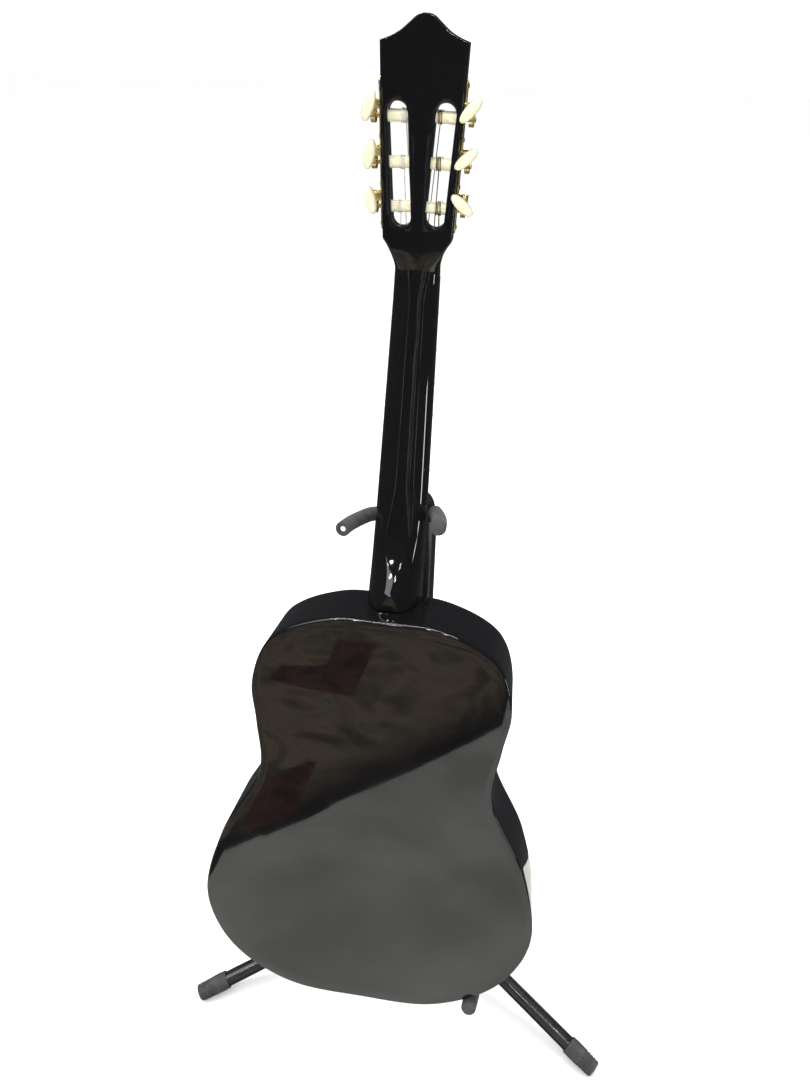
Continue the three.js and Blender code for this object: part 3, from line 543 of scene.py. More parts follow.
def wood_inside():
    """Bare side lining, just inside the lacquered sides."""
    rings = [inset(2.5, -DEPTH + 3), inset(2.5, -3), inset(5.5, -3), inset(4.5, -16), inset(3.4, -18),
             inset(3.4, -DEPTH + 18), inset(4.5, -DEPTH + 16), inset(5.5, -DEPTH + 3)]
    verts, faces = skin(rings, closed=True)
    solid("side_lining", verts, faces, GUITAR, BARE, "guitar", "bare_wood")


def rosette():
    """Inlaid rings round the soundhole, a guess since the front is never seen."""
    for k, (r0, r1, mat) in enumerate(((46.0, 47.2, BONE), (48.4, 55.0, FRETWOOD), (56.2, 57.4, BONE))):
        profile = [(r0, -DEPTH - 0.12), (r1, -DEPTH - 0.12), (r1, -DEPTH + 0.6), (r0, -DEPTH + 0.6)]
        turned(f"rosette_ring_{k + 1}", profile, GUITAR @ move(HOLE.x, HOLE.y, 0), mat,
               "guitar", "bone", n=96, closed=True)


# ---------- neck and headstock ----------

HEEL_START, CAP_LENGTH, HEEL_LENGTH, HEEL_DEPTH, CAP_HALF = LENGTH + 1.6, 15.5, 100.0, 51.0, 9.5
NUT_HALF, BODY_HALF = 20.5, 26.9
SHOULDER_Y, SHOULDER_HALF, CORNER_Y, CORNER_HALF = 30, 30.4, 178.7, 35.2
SLOT_R, SLOT_LOW, SLOT_HIGH = 8.3, 39.7, 137
ROLLERS = (55.6, 90.6, 125.6)
EDGE_TURN = atan2(CORNER_HALF - SHOULDER_HALF, CORNER_Y - SHOULDER_Y)


def mix(a, b, t):
    return a + (b - a) * t


def clamp(t):
    return min(max(t, 0.0), 1.0)


def ease(t):
    t = clamp(t)
    return t * t * (3 - 2 * t)


def neck_half(y):
    """Half the neck's width at y."""
    return mix(BODY_HALF, NUT_HALF, (y - LENGTH) / (NUT_Y - LENGTH))


def section(half, depth, cap, px, pz):
    """Right side then left side of a D-shaped section above the glue plane; cap is its flat half width."""
    side = []
    for i in range(23):
        t = pi / 2 * i / 22
        c, s = max(cos(t), 0.0), sin(t)
        side.append((cap + (half - cap) * c**px, depth * s**pz))
    side[-1] = (max(cap, 0.01), depth)
    return side + [(-x, z) for x, z in side[::-1]]


def square(half, depth):
    """Flat-backed section with small rounded edges, point for point like section()."""
    r = min(1.6, half * 0.45)
    near = min(2.3, half * 0.6)
    f = min(0.5, half * 0.2)
    side = [(half - f, 0), (half - 0.3 * f, 0.3 * f), (half, f), (half, 2 * f), (half, depth / 2), (half, depth - 2.3)]
    side += [(half - r + r * cos(a), depth - r + r * sin(a)) for a in [pi / 2 * i / 8 for i in range(9)]]
    side += [((half - near) * i / 7, depth) for i in range(7, -1, -1)]
    return side + [(-x, z) for x, z in side[::-1]]


def neck_rows():
    """Sections from the heel's cap to just below the nut."""
    rows = []
    d = 0.0
    while HEEL_START + d < NUT_Y - 26:
        y = HEEL_START + d
        shaft = mix(18, 16, (y - LENGTH) / (NUT_Y - LENGTH))
        t = clamp((d - CAP_LENGTH) / (HEEL_LENGTH - CAP_LENGTH))
        depth = shaft + (HEEL_DEPTH - shaft) * (1 - t)**2.3
        heel = clamp(1 - d / HEEL_LENGTH)
        cap = CAP_HALF * clamp(1 - d / CAP_LENGTH)**0.85
        cap += 10.5 * ease((d - CAP_LENGTH) / 50) * (1 - ease((d - 62) / 60))
        half = neck_half(y)
        px, pz = mix(0.85, 1.5, heel), mix(0.95, 0.8, heel)
        rows.append([(x, y, GLUE + z) for x, z in section(half, depth, cap, px, pz)])
        d += 1.2 if d < 22 else (3.0 if d < 110 else 14.0)
    return rows


def head_half(y):
    """Half the headstock's width at y: neck, curved shoulder from 6 to 30, then straight edges."""
    if y < 6:
        return NUT_HALF
    if y < SHOULDER_Y:
        t = (y - 6) / 24
        for _ in range(12):
            f = 6 * (1 - t)**2 + 2 * 20 * t * (1 - t) + SHOULDER_Y * t * t - y
            t -= f / (2 * (1 - t) * 14 + 2 * t * 10)
        return NUT_HALF * (1 - t)**2 + 2 * 22 * t * (1 - t) + SHOULDER_HALF * t * t
    return mix(SHOULDER_HALF, CORNER_HALF, (y - SHOULDER_Y) / (CORNER_Y - SHOULDER_Y))


def head_rows():
    """Sections from the nut to the crest, in the tilted frame, turning from D-shaped to square."""
    rows = []

    def add(y, half, flat):
        soft = section(half, HEAD_THICK, 0, 0.72, 0.72)
        rows.append([HEAD @ Vector((mix(a, c, flat), y, mix(b, d, flat)))
                     for (a, b), (c, d) in zip(soft, square(half, HEAD_THICK))])

    y = 3.5
    while y < 178:
        add(y, head_half(y), ease((y + 2) / 24))
        y += 1.6 if y < 34 else 6.0
    add(178.2, 35.18, 1)
    half = [(CORNER_HALF, CORNER_Y, 0), (27, 181.6, 0), (19, 185.8, 0), (12, 191.3, 0), (6, 195.9, 0)]
    crest = smooth_line(half + [(0, 197.4, 0)] + [(-x, y, 0) for x, y, _ in half[::-1]], 8)
    for p in crest[:len(crest) // 2 + 1]:
        add(p.y, max(p.x, 0.3), 1)
    return rows


def slot_x(y):
    return 15 + (y - ROLLERS[0]) * 0.0657


def slot_ring(sgn, grow, z):
    """Long hole with round ends; `grow` widens it for the softened lips."""
    r = SLOT_R + grow
    return [(sgn * slot_x(end) + r * cos(a), end + r * sin(a), z)
            for end, turn in ((SLOT_HIGH - SLOT_R, 0), (SLOT_LOW + SLOT_R, pi))
            for a in [turn + pi * i / 14 for i in range(15)]]


def neck():
    """Neck, heel and headstock in one skin, with the slots and roller holes cut out."""
    join = []
    for k, y in enumerate((NUT_Y - 25, NUT_Y - 20, NUT_Y - 15, NUT_Y - 10)):
        px, pz = mix(0.85, 0.74, k / 3), mix(0.95, 0.76, k / 3)
        join.append([GUITAR @ Vector((x, y, GLUE + z)) for x, z in section(neck_half(y), 16.1, 0, px, pz)])
    rows = [[GUITAR @ Vector(p) for p in row] for row in neck_rows()] + join + head_rows()
    verts, faces = skin(rows)
    obj = solid("neck_and_headstock", verts, faces, Matrix(), NECK_LACQUER, "guitar", "lacquer", "neck", sharp=32)
    tools = []
    for sgn in (1, -1):
        rings = [slot_ring(sgn, g, z) for z, g in
                 ((-3, 1.6), (-0.01, 1.6), (0.6, 0.35), (1.5, 0), (HEAD_THICK - 1.5, 0), (HEAD_THICK - 0.6, 0.35),
                  (HEAD_THICK + 0.01, 1.6), (HEAD_THICK + 3, 1.6))]
        tools.append(raw("slot", *skin(rings), HEAD))
        for y in ROLLERS:
            hole = lathe([(5.5, -30.5), (5.5, 4)], 28)
            tools.append(raw("drill", *skin(hole), edge_frame(sgn, y) @ X_AXIS))
    subtract(obj, tools)
    obj.data.set_sharp_from_angle(angle=radians(32))


# ---------- tuning machines ----------

WORM_X, WORM_DY = 6.8, 8.5
BUTTON_TURN = {1: (52, -47, -40), -1: (13, -12, -20)}


def edge_frame(sgn, y):
    """At a roller on the head's edge: X outwards, Z from face to back."""
    mid = ROLLERS[1]
    turn = spin(-EDGE_TURN if sgn > 0 else pi + EDGE_TURN, "Z")
    return (HEAD @ move(sgn * head_half(mid), mid, HEAD_THICK / 2) @ turn
            @ move(0, sgn * (y - mid) / cos(EDGE_TURN), 0))


def tuner_plate(sgn, label):
    """Side plate with its screws and the ears that hold the worms."""
    base = edge_frame(sgn, ROLLERS[1])
    y0, y1 = sorted((-54 * sgn, 64 * sgn))
    pts = []
    for cy, a0 in ((y1 - 5, 0), (y0 + 5, pi)):
        pts += [(5 * cos(a0 + pi * i / 12), cy + 5 * sin(a0 + pi * i / 12)) for i in range(13)]
    turn = base @ X_AXIS @ move(0, 0, 0.3)
    verts, faces = skin(prism(pts, 0, 1.2, 0.35))
    solid(f"machine_plate_{label}", verts, faces, turn, *GOLD_FITTING, f"tuner_plate_{label}", sharp=30)
    for k, y in enumerate(sorted((-49 * sgn, -17 * sgn, 19.5 * sgn, 59 * sgn))):
        screw = base @ move(1.5, y, 0) @ X_AXIS
        dome = [(2.3, -0.6), (2.3, 0.2), (1.9, 0.7), (1.2, 1.0), (0.4, 1.1)]
        turned(f"plate_screw_{label}_{k + 1}", dome, screw, BRASS, "guitar", "gold_metal", n=20)
    for k, y in enumerate(ROLLERS):
        at = edge_frame(sgn, y) @ move(0, sgn * WORM_DY, 0)
        for s, end in ((-1, "a"), (1, "b")):
            ear = at @ move(5.0, 0, s * 7.2)
            blockish(f"worm_ear_{label}_{k + 1}_{end}", (9.4, 6.8, 1.5), ear, *GOLD_FITTING, bevel=0.5)
            web = at @ move(0.95, 0, s * 5.6)
            blockish(f"worm_web_{label}_{k + 1}_{end}", (1.3, 6.8, 4.0), web, *GOLD_FITTING, bevel=0.3)


def roller(sgn, label, k):
    """String roller with its barrel, peg hole, gear and screw."""
    at = edge_frame(sgn, ROLLERS[k])
    tag = f"{label}_{k + 1}"
    name = f"string_roller_{tag}"
    waist = [(0.8, -29.4), (4.6, -29.4), (5.0, -28.8), (5.0, -26.2), (4.75, -24.5), (4.6, -17), (4.75, -9.5),
             (5.0, -8.0), (5.0, -0.4), (4.7, 0.0), (0.8, 0.0)]
    turned(f"roller_barrel_{tag}", waist, at @ X_AXIS, PEARL, name, "pearl_plastic", name, n=40)
    hole = at @ move(-13.0, 0, 0) @ spin(radians(25), "X")
    turned(f"roller_hole_{tag}", [(0.2, 4.3), (0.75, 4.3), (0.75, 4.72), (0.2, 4.74)], hole, BRASS,
           name, "gold_metal", n=16)
    teeth = 14
    ring = []
    for i in range(teeth * 6):
        a = 2 * pi * i / (teeth * 6)
        r = 5.35 + 0.42 * clamp(2.2 * cos(teeth * a) * 0.5 + 0.5)
        ring.append((r * cos(a), r * sin(a)))
    verts, faces = skin(prism(ring, 4.7, 8.9, 0.3))
    solid(f"gear_{tag}", verts, faces, at @ X_AXIS, BRASS, name, "gold_metal", sharp=25)
    turned(f"gear_screw_{tag}", [(2.0, 8.6), (2.0, 9.7), (1.5, 10.2), (0.3, 10.3)], at @ X_AXIS, GOLD,
           name, "gold_metal", n=24)
    turned(f"spindle_{tag}", [(1.9, -0.5), (1.9, 5)], at @ X_AXIS, BRASS, name, "gold_metal", n=20)


def button(sgn, label, k):
    """Worm, its shaft and the oval button on it."""
    tag = f"{label}_{k + 1}"
    name = f"tuning_button_{tag}"
    at = edge_frame(sgn, ROLLERS[k]) @ move(WORM_X, sgn * WORM_DY, 0)
    thread = []
    for i in range(97):
        z = mix(-6.0, 6.0, i / 96)
        a = 2 * pi * i / 16
        r = 2.15 if 0 < i < 96 else 1.6
        thread.append([(r * cos(b) + 0.38 * cos(a), r * sin(b) + 0.38 * sin(a), z)
                       for b in [2 * pi * j / 18 for j in range(18)]])
    verts, faces = skin(thread)
    solid(f"worm_{tag}", verts, faces, at, BRASS, name, "gold_metal", sharp=60)
    turned(f"worm_shaft_{tag}", [(1.2, -8.6), (1.5, -8.2), (1.5, 9.0), (2.1, 9.2), (2.1, 10.6), (1.5, 10.9),
                                           (1.5, 15)], at, GOLD, name, "gold_metal", n=20)
    turn = at @ spin(radians(BUTTON_TURN[sgn][k]), "Z")
    rings = []
    for z, f, g in ((14.0, 0.24, 0.34), (14.3, 0.34, 0.44), (15.6, 0.52, 0.62), (17.6, 0.78, 0.82), (20, 0.94, 0.95),
                    (22.5, 1.0, 1.0), (25, 0.97, 0.97), (27, 0.86, 0.88), (28.3, 0.66, 0.7), (28.9, 0.4, 0.42),
                    (29.0, 0.12, 0.12)):
        rings.append([(4.5 * g * abs(cos(a))**0.9 * (1 if cos(a) > 0 else -1), 11.5 * f * sin(a), z)
                      for a in [2 * pi * i / 44 for i in range(44)]])
    verts, faces = skin(rings)
    solid(f"button_{tag}", verts, faces, turn, PEARL, name, "pearl_plastic", name, sharp=60)


# ---------- fretboard, bridge, strings ----------

SCALE = 630.0
BRIDGE_Y = 139.0
STRING_R = (0.35, 0.42, 0.5, 0.42, 0.5, 0.58)
BOARD = 5.2


def fretboard():
    rows = []
    for y, trim in ((350.0, 0.5), (350.4, 0), (NUT_Y - 3.4, 0), (NUT_Y - 3, 0.4)):
        half = neck_half(y) - trim
        top = GLUE - BOARD + trim
        rows.append([(half, y, GLUE - 0.3), (half, y, top + 0.5), (half - 0.5, y, top), (0, y, top - 0.05),
                     (-half + 0.5, y, top), (-half, y, top + 0.5), (-half, y, GLUE - 0.3)])
    verts, faces = skin(rows)
    solid("fretboard_wood", verts, faces, GUITAR, *DARK_WOOD, "fretboard", sharp=20)
    for n in range(1, 19):
        y = NUT_Y - SCALE * (1 - 2**(-n / 12))
        half = neck_half(y) - 0.3
        line = [Vector((mix(-half, half, i / 8), y, GLUE - BOARD - 0.1)) for i in range(9)]
        rod(f"fret_{n:02d}", line, 0.95, GUITAR, NICKEL, "guitar", "steel", n=14, edge=0.5)


def front_fittings():
    nut = GUITAR @ move(0, NUT_Y - 0.2, GLUE - 3.85)
    blockish("nut_bar", (2 * NUT_HALF, 5.0, 7.1), nut, *WHITE_BONE, "nut", bevel=0.9)
    z = -DEPTH
    wing = [(-80, BRIDGE_Y - 17), (80, BRIDGE_Y - 17), (80, BRIDGE_Y + 9), (-80, BRIDGE_Y + 9)]
    pts = []
    for (x0, y0), (x1, y1) in zip(wing, wing[1:] + wing[:1]):
        pts += [(mix(x0, x1, i / 8), mix(y0, y1, i / 8)) for i in range(8)]
    verts, faces = skin(prism(pts[::-1], z - 5, z - 0.3, 0.8))
    solid("bridge_wings", verts, faces, GUITAR, *DARK_WOOD, "bridge", sharp=30)
    tie = GUITAR @ move(0, BRIDGE_Y - 12.3, z - 6.6)
    blockish("bridge_tie_block", (84, 9.4, 5.8), tie, *DARK_WOOD, bevel=0.8)
    for s in (-1, 1):
        strip = GUITAR @ move(0, BRIDGE_Y - 12.3 + s * 3.8, z - 9.3)
        blockish(f"tie_block_edge_{'low' if s < 0 else 'high'}", (83, 1.4, 1.0), strip, *WHITE_BONE, bevel=0.3)
    front = GUITAR @ move(0, BRIDGE_Y + 2.6, z - 6.4)
    blockish("bridge_saddle_block", (84, 10.6, 5.4), front, *DARK_WOOD, bevel=0.8)
    saddle = GUITAR @ move(0, BRIDGE_Y, z - 8.0)
    blockish("saddle_bar", (78, 2.4, 8.2), saddle, *WHITE_BONE, "saddle", bevel=0.7)


def string_path(k):
    """Roller row, slot side, x on the roller, and the points of string k + 1 from the tie block to its roller."""
    lane = k - 2.5
    over = STRING_R[k] + 0.4
    row = k if k < 3 else 5 - k
    side = -1 if k < 3 else 1
    x = lane * 7 + side * (-1, 4.5, 11)[row]
    land = GUITAR.inverted() @ (HEAD @ Vector((x, ROLLERS[row], HEAD_THICK / 2 - 4.7 - over)))
    return row, side, x, [
        Vector((lane * 11.4, BRIDGE_Y - 17, -DEPTH - 7.5)),
        Vector((lane * 11.4, BRIDGE_Y - 16, -DEPTH - 9.5 - over)),
        Vector((lane * 11.4, BRIDGE_Y - 7.5, -DEPTH - 9.6 - over)),
        Vector((lane * 11.4, BRIDGE_Y, -DEPTH - 12.2 - over)),
        Vector((lane * 7, NUT_Y + 2.0, GLUE - 7.4 - over)), land]


def strings():
    for k in range(6):
        row, side, x, path = string_path(k)
        mat, slot = (NYLON, "nylon") if k < 3 else (WOUND, "wound_string")
        rod(f"string_run_{k + 1}", path, STRING_R[k], GUITAR, mat, "guitar", slot, f"string_{k + 1}", n=12,
            up=(1, 0, 0), edge=0.2)
        label = "left" if side < 0 else "right"
        base = edge_frame(side, ROLLERS[row])
        local = base.inverted() @ (HEAD @ Vector((x, ROLLERS[row], HEAD_THICK / 2)))
        r = STRING_R[k]
        coil = []
        for i in range(24 * 3 + 1):
            a = 2 * pi * i / 24
            across = local.x + (i / 24 - 1.2) * 3.1 * r + 0.35 * r * sin(i * 0.37)
            coil.append(Vector((across, (4.75 + r) * cos(a), (4.75 + r) * sin(a))))
        rod(f"string_wrap_{k + 1}", coil, r, base, mat, f"string_roller_{label}_{row + 1}", slot, n=8,
            up=(1, 0, 0), edge=0.2)
        tie = []
        for i in range(28):
            a = 2 * pi * i / 14
            tie.append(Vector(((k - 2.5) * 11.4 + i * 0.09, BRIDGE_Y - 12.3 + 5.6 * cos(a),
                               -DEPTH - 6.8 + 4.0 * sin(a))))
        rod(f"string_tie_{k + 1}", tie, r * 0.9, GUITAR, mat, "guitar", slot, n=8, up=(1, 0, 0), edge=0.2)


# ---------- stand ----------

LEG_SLOPE, PIVOT_R, FOOT_R = radians(16.7), 30.0, 10.6
LEG_LENGTH = (299 - PIVOT_R) / cos(LEG_SLOPE)
PIVOT_Z = FOOT_R * cos(LEG_SLOPE) - 1.5 + LEG_LENGTH * sin(LEG_SLOPE)
LEGS = {"front_right": radians(-30), "front_left": radians(-150), "rear": radians(90)}


def legs():
    """Three leg tubes with their grooved rubber shoes, flat where they meet the floor, and their bolts."""
    for label, angle in LEGS.items():
        radial = STAND @ spin(angle, "Z")
        leg = (radial @ move(PIVOT_R, 0, PIVOT_Z) @ spin(LEG_SLOPE, "Y") @ X_AXIS)
        body = f"leg_{label}"
        turned(f"leg_{label}_tube", pipe(9.5, 8.2, -5, LEG_LENGTH - 8), leg, TUBE, body, "black_tube",
               f"leg_tube_{label}", n=64, closed=True)
        e, s = LEG_LENGTH, LEG_LENGTH - 40  # end and mouth of the rubber shoe
        wall = [(0.3, e - 7), (9.8, e - 7), (9.8, s + 0.6), (10.0, s), (11.0, s), (11.4, s + 0.5), (11.4, s + 3.2)]
        wall += [(11.25, s + 3.8), (11.25, s + 4.6), (11.6, s + 5.4), (11.6, s + 9), (11.55, s + 13), (11.4, s + 17)]
        waffle = len(wall)
        wall += [(mix(11.35, 10.7, i / 42), s + 19.5 + i * 0.42) for i in range(43)]
        end = len(wall)
        wall += [(10.4, e - 1.6), (9.9, e - 0.75), (9.0, e - 0.15), (4, e - 0.15), (3.4, e - 0.8), (0.3, e - 0.8)]
        rings = lathe(wall, 112)
        for k in range(waffle, end):
            z = rings[k][0][2] - s - 19.5
            across = z % 4.2 > 2.9
            for i, (x, y, height) in enumerate(rings[k]):
                if across or (i % 8 < 2 and 0.4 < z < 17.2):
                    rings[k][i] = (x * (1 - 0.085), y * (1 - 0.085), height)
        verts, faces = skin(rings)
        foot = solid(f"rubber_shoe_{label}", verts, faces, leg, RUBBER, body, "rubber", f"rubber_foot_{label}",
                     sharp=40)
        for v in foot.data.vertices:
            v.co.z = max(v.co.z, 0.0)
        pin = radial @ move(PIVOT_R, 0, PIVOT_Z) @ spin(-pi / 2, "X")
        head = [(0.3, -13.6), (3.0, -13.6), (3.0, 13.6), (5.6, 13.6), (5.9, 14.2), (5.4, 15.6), (4.0, 16.6),
                (1.5, 16.9), (0.3, 16.9)]
        turned(f"leg_bolt_{label}", head, pin, STEEL, "stand_base", "steel", f"leg_pin_{label}", n=32)
        hexagon = [(5.2 * cos(i * pi / 3), 5.2 * sin(i * pi / 3)) for i in range(6)]
        verts, faces = skin(prism(hexagon, -17.2, -13.7, 0.5))
        solid(f"leg_nut_{label}", verts, faces, pin, STEEL, "stand_base", "steel", sharp=25)


def hub():
    """Sleeve and flange round the mast, with a pair of ears for each leg."""
    z = PIVOT_Z
    profile = [(r, z + dz) for r, dz in (
        (13.0, -15.4), (13.6, -16), (17.2, -16), (18, -15.2), (18, 8), (19, 10.4), (21.5, 11.6), (39.8, 11.6),
        (41, 12.6), (41, 14.6), (40, 15.8), (36, 16.2), (22, 16.2), (19.2, 16.8), (17.6, 17), (13.6, 17), (13.0, 16.4))]
    turned("hub_sleeve", profile, STAND, *BASE_PLASTIC, "leg_hub", n=96, closed=True)
    for label, angle in LEGS.items():
        radial = STAND @ spin(angle, "Z")
        for side in (-1, 1):
            pts = [(15.5, z + 12.2), (15.5, z - 10), (24, z - 10)]
            pts += [(PIVOT_R + 10 * cos(a), z + 10 * sin(a)) for a in [-pi / 2 + pi * i / 14 for i in range(15)]]
            pts += [(PIVOT_R + 6, z + 12.2)]
            y = 9.8 if side > 0 else -13.3
            verts, faces = skin(prism([(x, -zz) for x, zz in pts], y, y + 3.5, 0.6))
            solid(f"hub_ear_{label}_{'a' if side < 0 else 'b'}", verts, faces, radial @ spin(-pi / 2, "X"),
                  *BASE_PLASTIC, sharp=30)


def knob(name, where, stud, grip, node, body):
    """Six-lobed thumb screw along X: stud and grip are where its stud and its grip begin."""
    lobes = []
    for i in range(72):
        a = 2 * pi * i / 72
        r = 12.4 + 1.55 * cos(6 * a)
        lobes.append((r * cos(a), r * sin(a)))
    verts, faces = skin(prism(lobes, grip, grip + 11, 1.6))
    solid(f"{name}_grip", verts, faces, where @ X_AXIS, PLASTIC, body, "black_plastic", node, sharp=50)
    turned(f"{name}_collar", rounded(6.5, grip - 3, grip + 0.6, 0.5), where @ X_AXIS, PLASTIC, body,
           "black_plastic", n=40)
    thread = [(3.0 if i % 2 else 2.7, mix(stud, grip + 1, i / 24)) for i in range(25)]
    turned(f"{name}_stud", [(0.3, stud)] + thread, where @ X_AXIS, STEEL, body, "steel", n=28)
    cap = [(6.6, grip + 10.6), (6.6, grip + 10.95), (5.9, grip + 11.0), (0.3, grip + 10.98)]
    turned(f"{name}_disc", cap, where @ X_AXIS, STEEL, body, "steel", n=40)


def mast():
    turned("mast_lower", pipe(12.7, 11.5, 66, 400, 0.5), STAND, TUBE, "stand_base", "black_tube", "mast_lower_tube",
           n=72, closed=True)
    turned("mast_plug",
           [(0.3, 62), (9.6, 62), (11.6, 62.6), (12.7, 64), (12.7, 65.7), (11.2, 65.7), (11.2, 78), (0.3, 78)],
           STAND, *BASE_PLASTIC, "mast_end_plug", n=64)
    turned("mast_upper", pipe(11, 9.8, 330, 687, 0.5), STAND, TUBE, "upper_mast", "black_tube", "mast_upper_tube",
           n=72, closed=True)
    z = 404
    ring = [(r, z + dz) for r, dz in (
        (13.0, -17.4), (13.6, -18), (17.2, -18), (17.6, -17.2), (17.6, -14), (17.2, -13.4), (17.2, -12.4),
        (17.7, -11.8), (18, 7), (17.7, 9), (15.8, 13.4), (15, 14), (11.8, 14), (11.4, 13.6), (11.4, -3.5),
        (13.0, -3.5))]
    turned("clamp_collar", ring, STAND, *BASE_PLASTIC, "height_collar", n=80, closed=True)
    rear = STAND @ spin(pi / 2, "Z") @ move(0, 0, z + 2)
    turned("clamp_boss", [(3.4, 15.5), (7.6, 15.5), (7.0, 18), (7.0, 23.4), (6.4, 24), (3.4, 24)], rear @ X_AXIS,
           *BASE_PLASTIC, n=48, closed=True)
    knob("height_wheel", rear, 11.3, 27.5, "height_knob", "height_screw")


CRADLE_SLOPE, CRADLE_ROLL, CRADLE_HALF, CRADLE_BACK = radians(13.6), radians(-2.05), 119.0, 24.0
CRADLE_Z = 200.8 - (207 - CRADLE_BACK) * tan(CRADLE_SLOPE)
ARM_LENGTH = (207 - CRADLE_BACK) / cos(CRADLE_SLOPE)
BEND = 32.0


def arm_line(sgn, root, tip):
    """Centre line of an arm in its plane: out from the bracket, round a bend, and forwards."""
    pts = [Vector((sgn * root, 0, 0))]
    for i in range(13):
        a = pi / 2 * i / 12
        pts.append(Vector((sgn * (CRADLE_HALF - BEND * (1 - sin(a))), -BEND * (1 - cos(a)), 0)))
    return resample(pts + [Vector((sgn * CRADLE_HALF, -tip, 0))], 4)


def cradle():
    """Bracket on the lower mast with its thumb screw, and two bent arms with foam and caps."""
    base = STAND @ spin(radians(-6), "Z")
    z = CRADLE_Z
    sleeve_ring = pipe(18.5, 13.1, z - 20, z + 20, 0.9)
    turned("cradle_sleeve", sleeve_ring, base, *BASE_PLASTIC, "cradle_bracket", n=80, closed=True)
    turned("cradle_boss", [(3.4, 15.5), (8.8, 15.5), (8, 18.5), (8, 24.4), (7.4, 25), (3.4, 25)],
           base @ move(0, 0, z) @ spin(pi / 2, "Z") @ X_AXIS, *BASE_PLASTIC, n=48, closed=True)
    plane = base @ (move(0, -CRADLE_BACK, z) @ spin(-CRADLE_SLOPE, "X") @ spin(CRADLE_ROLL, "Y"))
    for s in (-1, 1):
        socket = base @ move(s * 22, -CRADLE_BACK, z)
        ring = [(5.3, -12), (9.6, -12), (10.4, -11.2), (10.4, 11.2), (9.6, 12), (5.3, 12)]
        turned(f"arm_socket_{'left' if s < 0 else 'right'}", ring, socket @ X_AXIS, *BASE_PLASTIC,
               n=48, closed=True)
    blockish("cradle_bridge", (32, 22, 21), base @ move(0, -CRADLE_BACK + 1, z), *BASE_PLASTIC, bevel=2.2)
    knob("cradle_wheel", base @ spin(pi / 2, "Z") @ move(0, 0, z), 13.0, 28.5,
         "cradle_knob", "cradle_screw")
    for label, sgn in (("right", 1), ("left", -1)):
        rod(f"arm_rod_{label}", arm_line(sgn, 10.3, ARM_LENGTH - 3.6), 5.0, plane, TUBE, "stand_base", "black_tube",
            f"cradle_arm_{label}", n=36)
        sleeve(f"arm_foam_{label}", arm_line(sgn, 37, ARM_LENGTH - 7.4), 8.2, 5.2, plane, "stand_base",
               f"cradle_foam_{label}")
        tip = plane @ move(sgn * CRADLE_HALF, -(ARM_LENGTH - 6), 0) @ spin(pi / 2, "X")
        dome = [(5.3, 0.4), (5.7, 0), (7.5, 0), (8.0, 0.5), (8.0, 3.6)]
        dome += [(8.0 * cos(a), 4 + 6 * sin(a)) for a in [pi / 2 * i / 10 for i in range(10)]]
        turned(f"arm_cap_{label}", [(0.3, 4), (5.3, 4)] + dome + [(0.3, 10)], tip, RUBBER, "stand_base", "rubber",
               f"cradle_cap_{label}", n=56)


YOKE_LINE = [(-72, -65, 700), (-69.5, -52, 698), (-66.5, -40, 695.5), (-62, -26, 692.5), (-54.5, -15, 691.5),
             (-45, -9.8, 690.5), (-30, -8, 692), (-12, -3, 694.8), (0, -1, 696.5), (8, -7, 697.6), (12.5, -15, 698.5),
             (15.3, -27, 703), (17.6, -40, 708.6), (20, -55, 714.5), (22.2, -73, 721.5), (23.7, -90.4, 728)]


def yoke():
    """Domed head on the upper mast, the bent bar through it, and a foam grip on each side."""
    line = resample(smooth_line(YOKE_LINE, 10), 1.5)
    n = len(line) - 1
    middle = min(range(n + 1), key=lambda i: abs(line[i].x))
    profile = [(0.3, 662.5), (9.2, 662.5), (9.4, 663), (9.4, 687), (10.4, 687.2), (11, 687.8), (11, 689.6),
               (10.2, 690.4), (8.8, 692), (8.6, 694), (8.4, 700), (7.8, 703), (6.9, 706), (5.2, 709.6), (3.2, 712.7),
               (1.4, 714.3), (0.3, 714.5)]
    turned("mast_top_cap", profile, STAND, PLASTIC, "yoke", "black_plastic", "yoke_head", n=72)
    rod("yoke_bar", line[2:-1], 3.0, STAND, STEEL, "yoke", "steel", "yoke_rod", n=28)
    for label, part in (("left", line[:middle - 8]), ("right", line[middle + 8:])):
        sleeve(f"yoke_grip_{label}", part, 7.4, 3.5, STAND, "yoke", f"yoke_foam_{label}", n=56)
    start, into = line[0], (line[3] - line[0]).normalized()
    turned("yoke_bar_end", [(0.3, 0.2), (2.2, 0.2), (2.9, 0.7), (2.9, 2.2), (0.3, 2.2)],
           STAND @ along(start + into * 0.2, start + into * 3), ZINC, "yoke", "steel", n=32)
    end = line[-1]
    tangent = (line[-1] - line[-3]).normalized()
    cap = along(end + tangent * 1.3, end + tangent * 3)
    profile = [(0.3, 0.0), (7.2, 0.0), (7.4, 0.3), (7.4, 1.2), (7.0, 1.7), (6.2, 1.9), (5.9, 2.3), (5.6, 3.0),
               (4.6, 3.4), (0.3, 3.5)]
    turned("yoke_end_cap", profile, STAND @ cap, RUBBER, "yoke", "rubber", "yoke_cap_right", n=48)


# ---------- carried-over nodes and stage ----------


def repaint(node, material):
    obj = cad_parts[node]
    obj.data.materials.clear()
    obj.data.materials.append(material)


def card(name, corners, paint):
    """A reflector card that only mirrors see."""
    mesh = bpy.data.meshes.new(name)
    mesh.from_pydata(corners, [], [tuple(range(len(corners)))])
    obj = linked(name, mesh)
    mesh.materials.append(paint.mat)
    for ray in ("camera", "diffuse", "shadow", "transmission"):
        setattr(obj, "visible_" + ray, False)


def upright(x0, x1, y, z0, z1):
    return [(x0, y, z0), (x1, y, z0), (x1, y, z1), (x0, y, z1)]


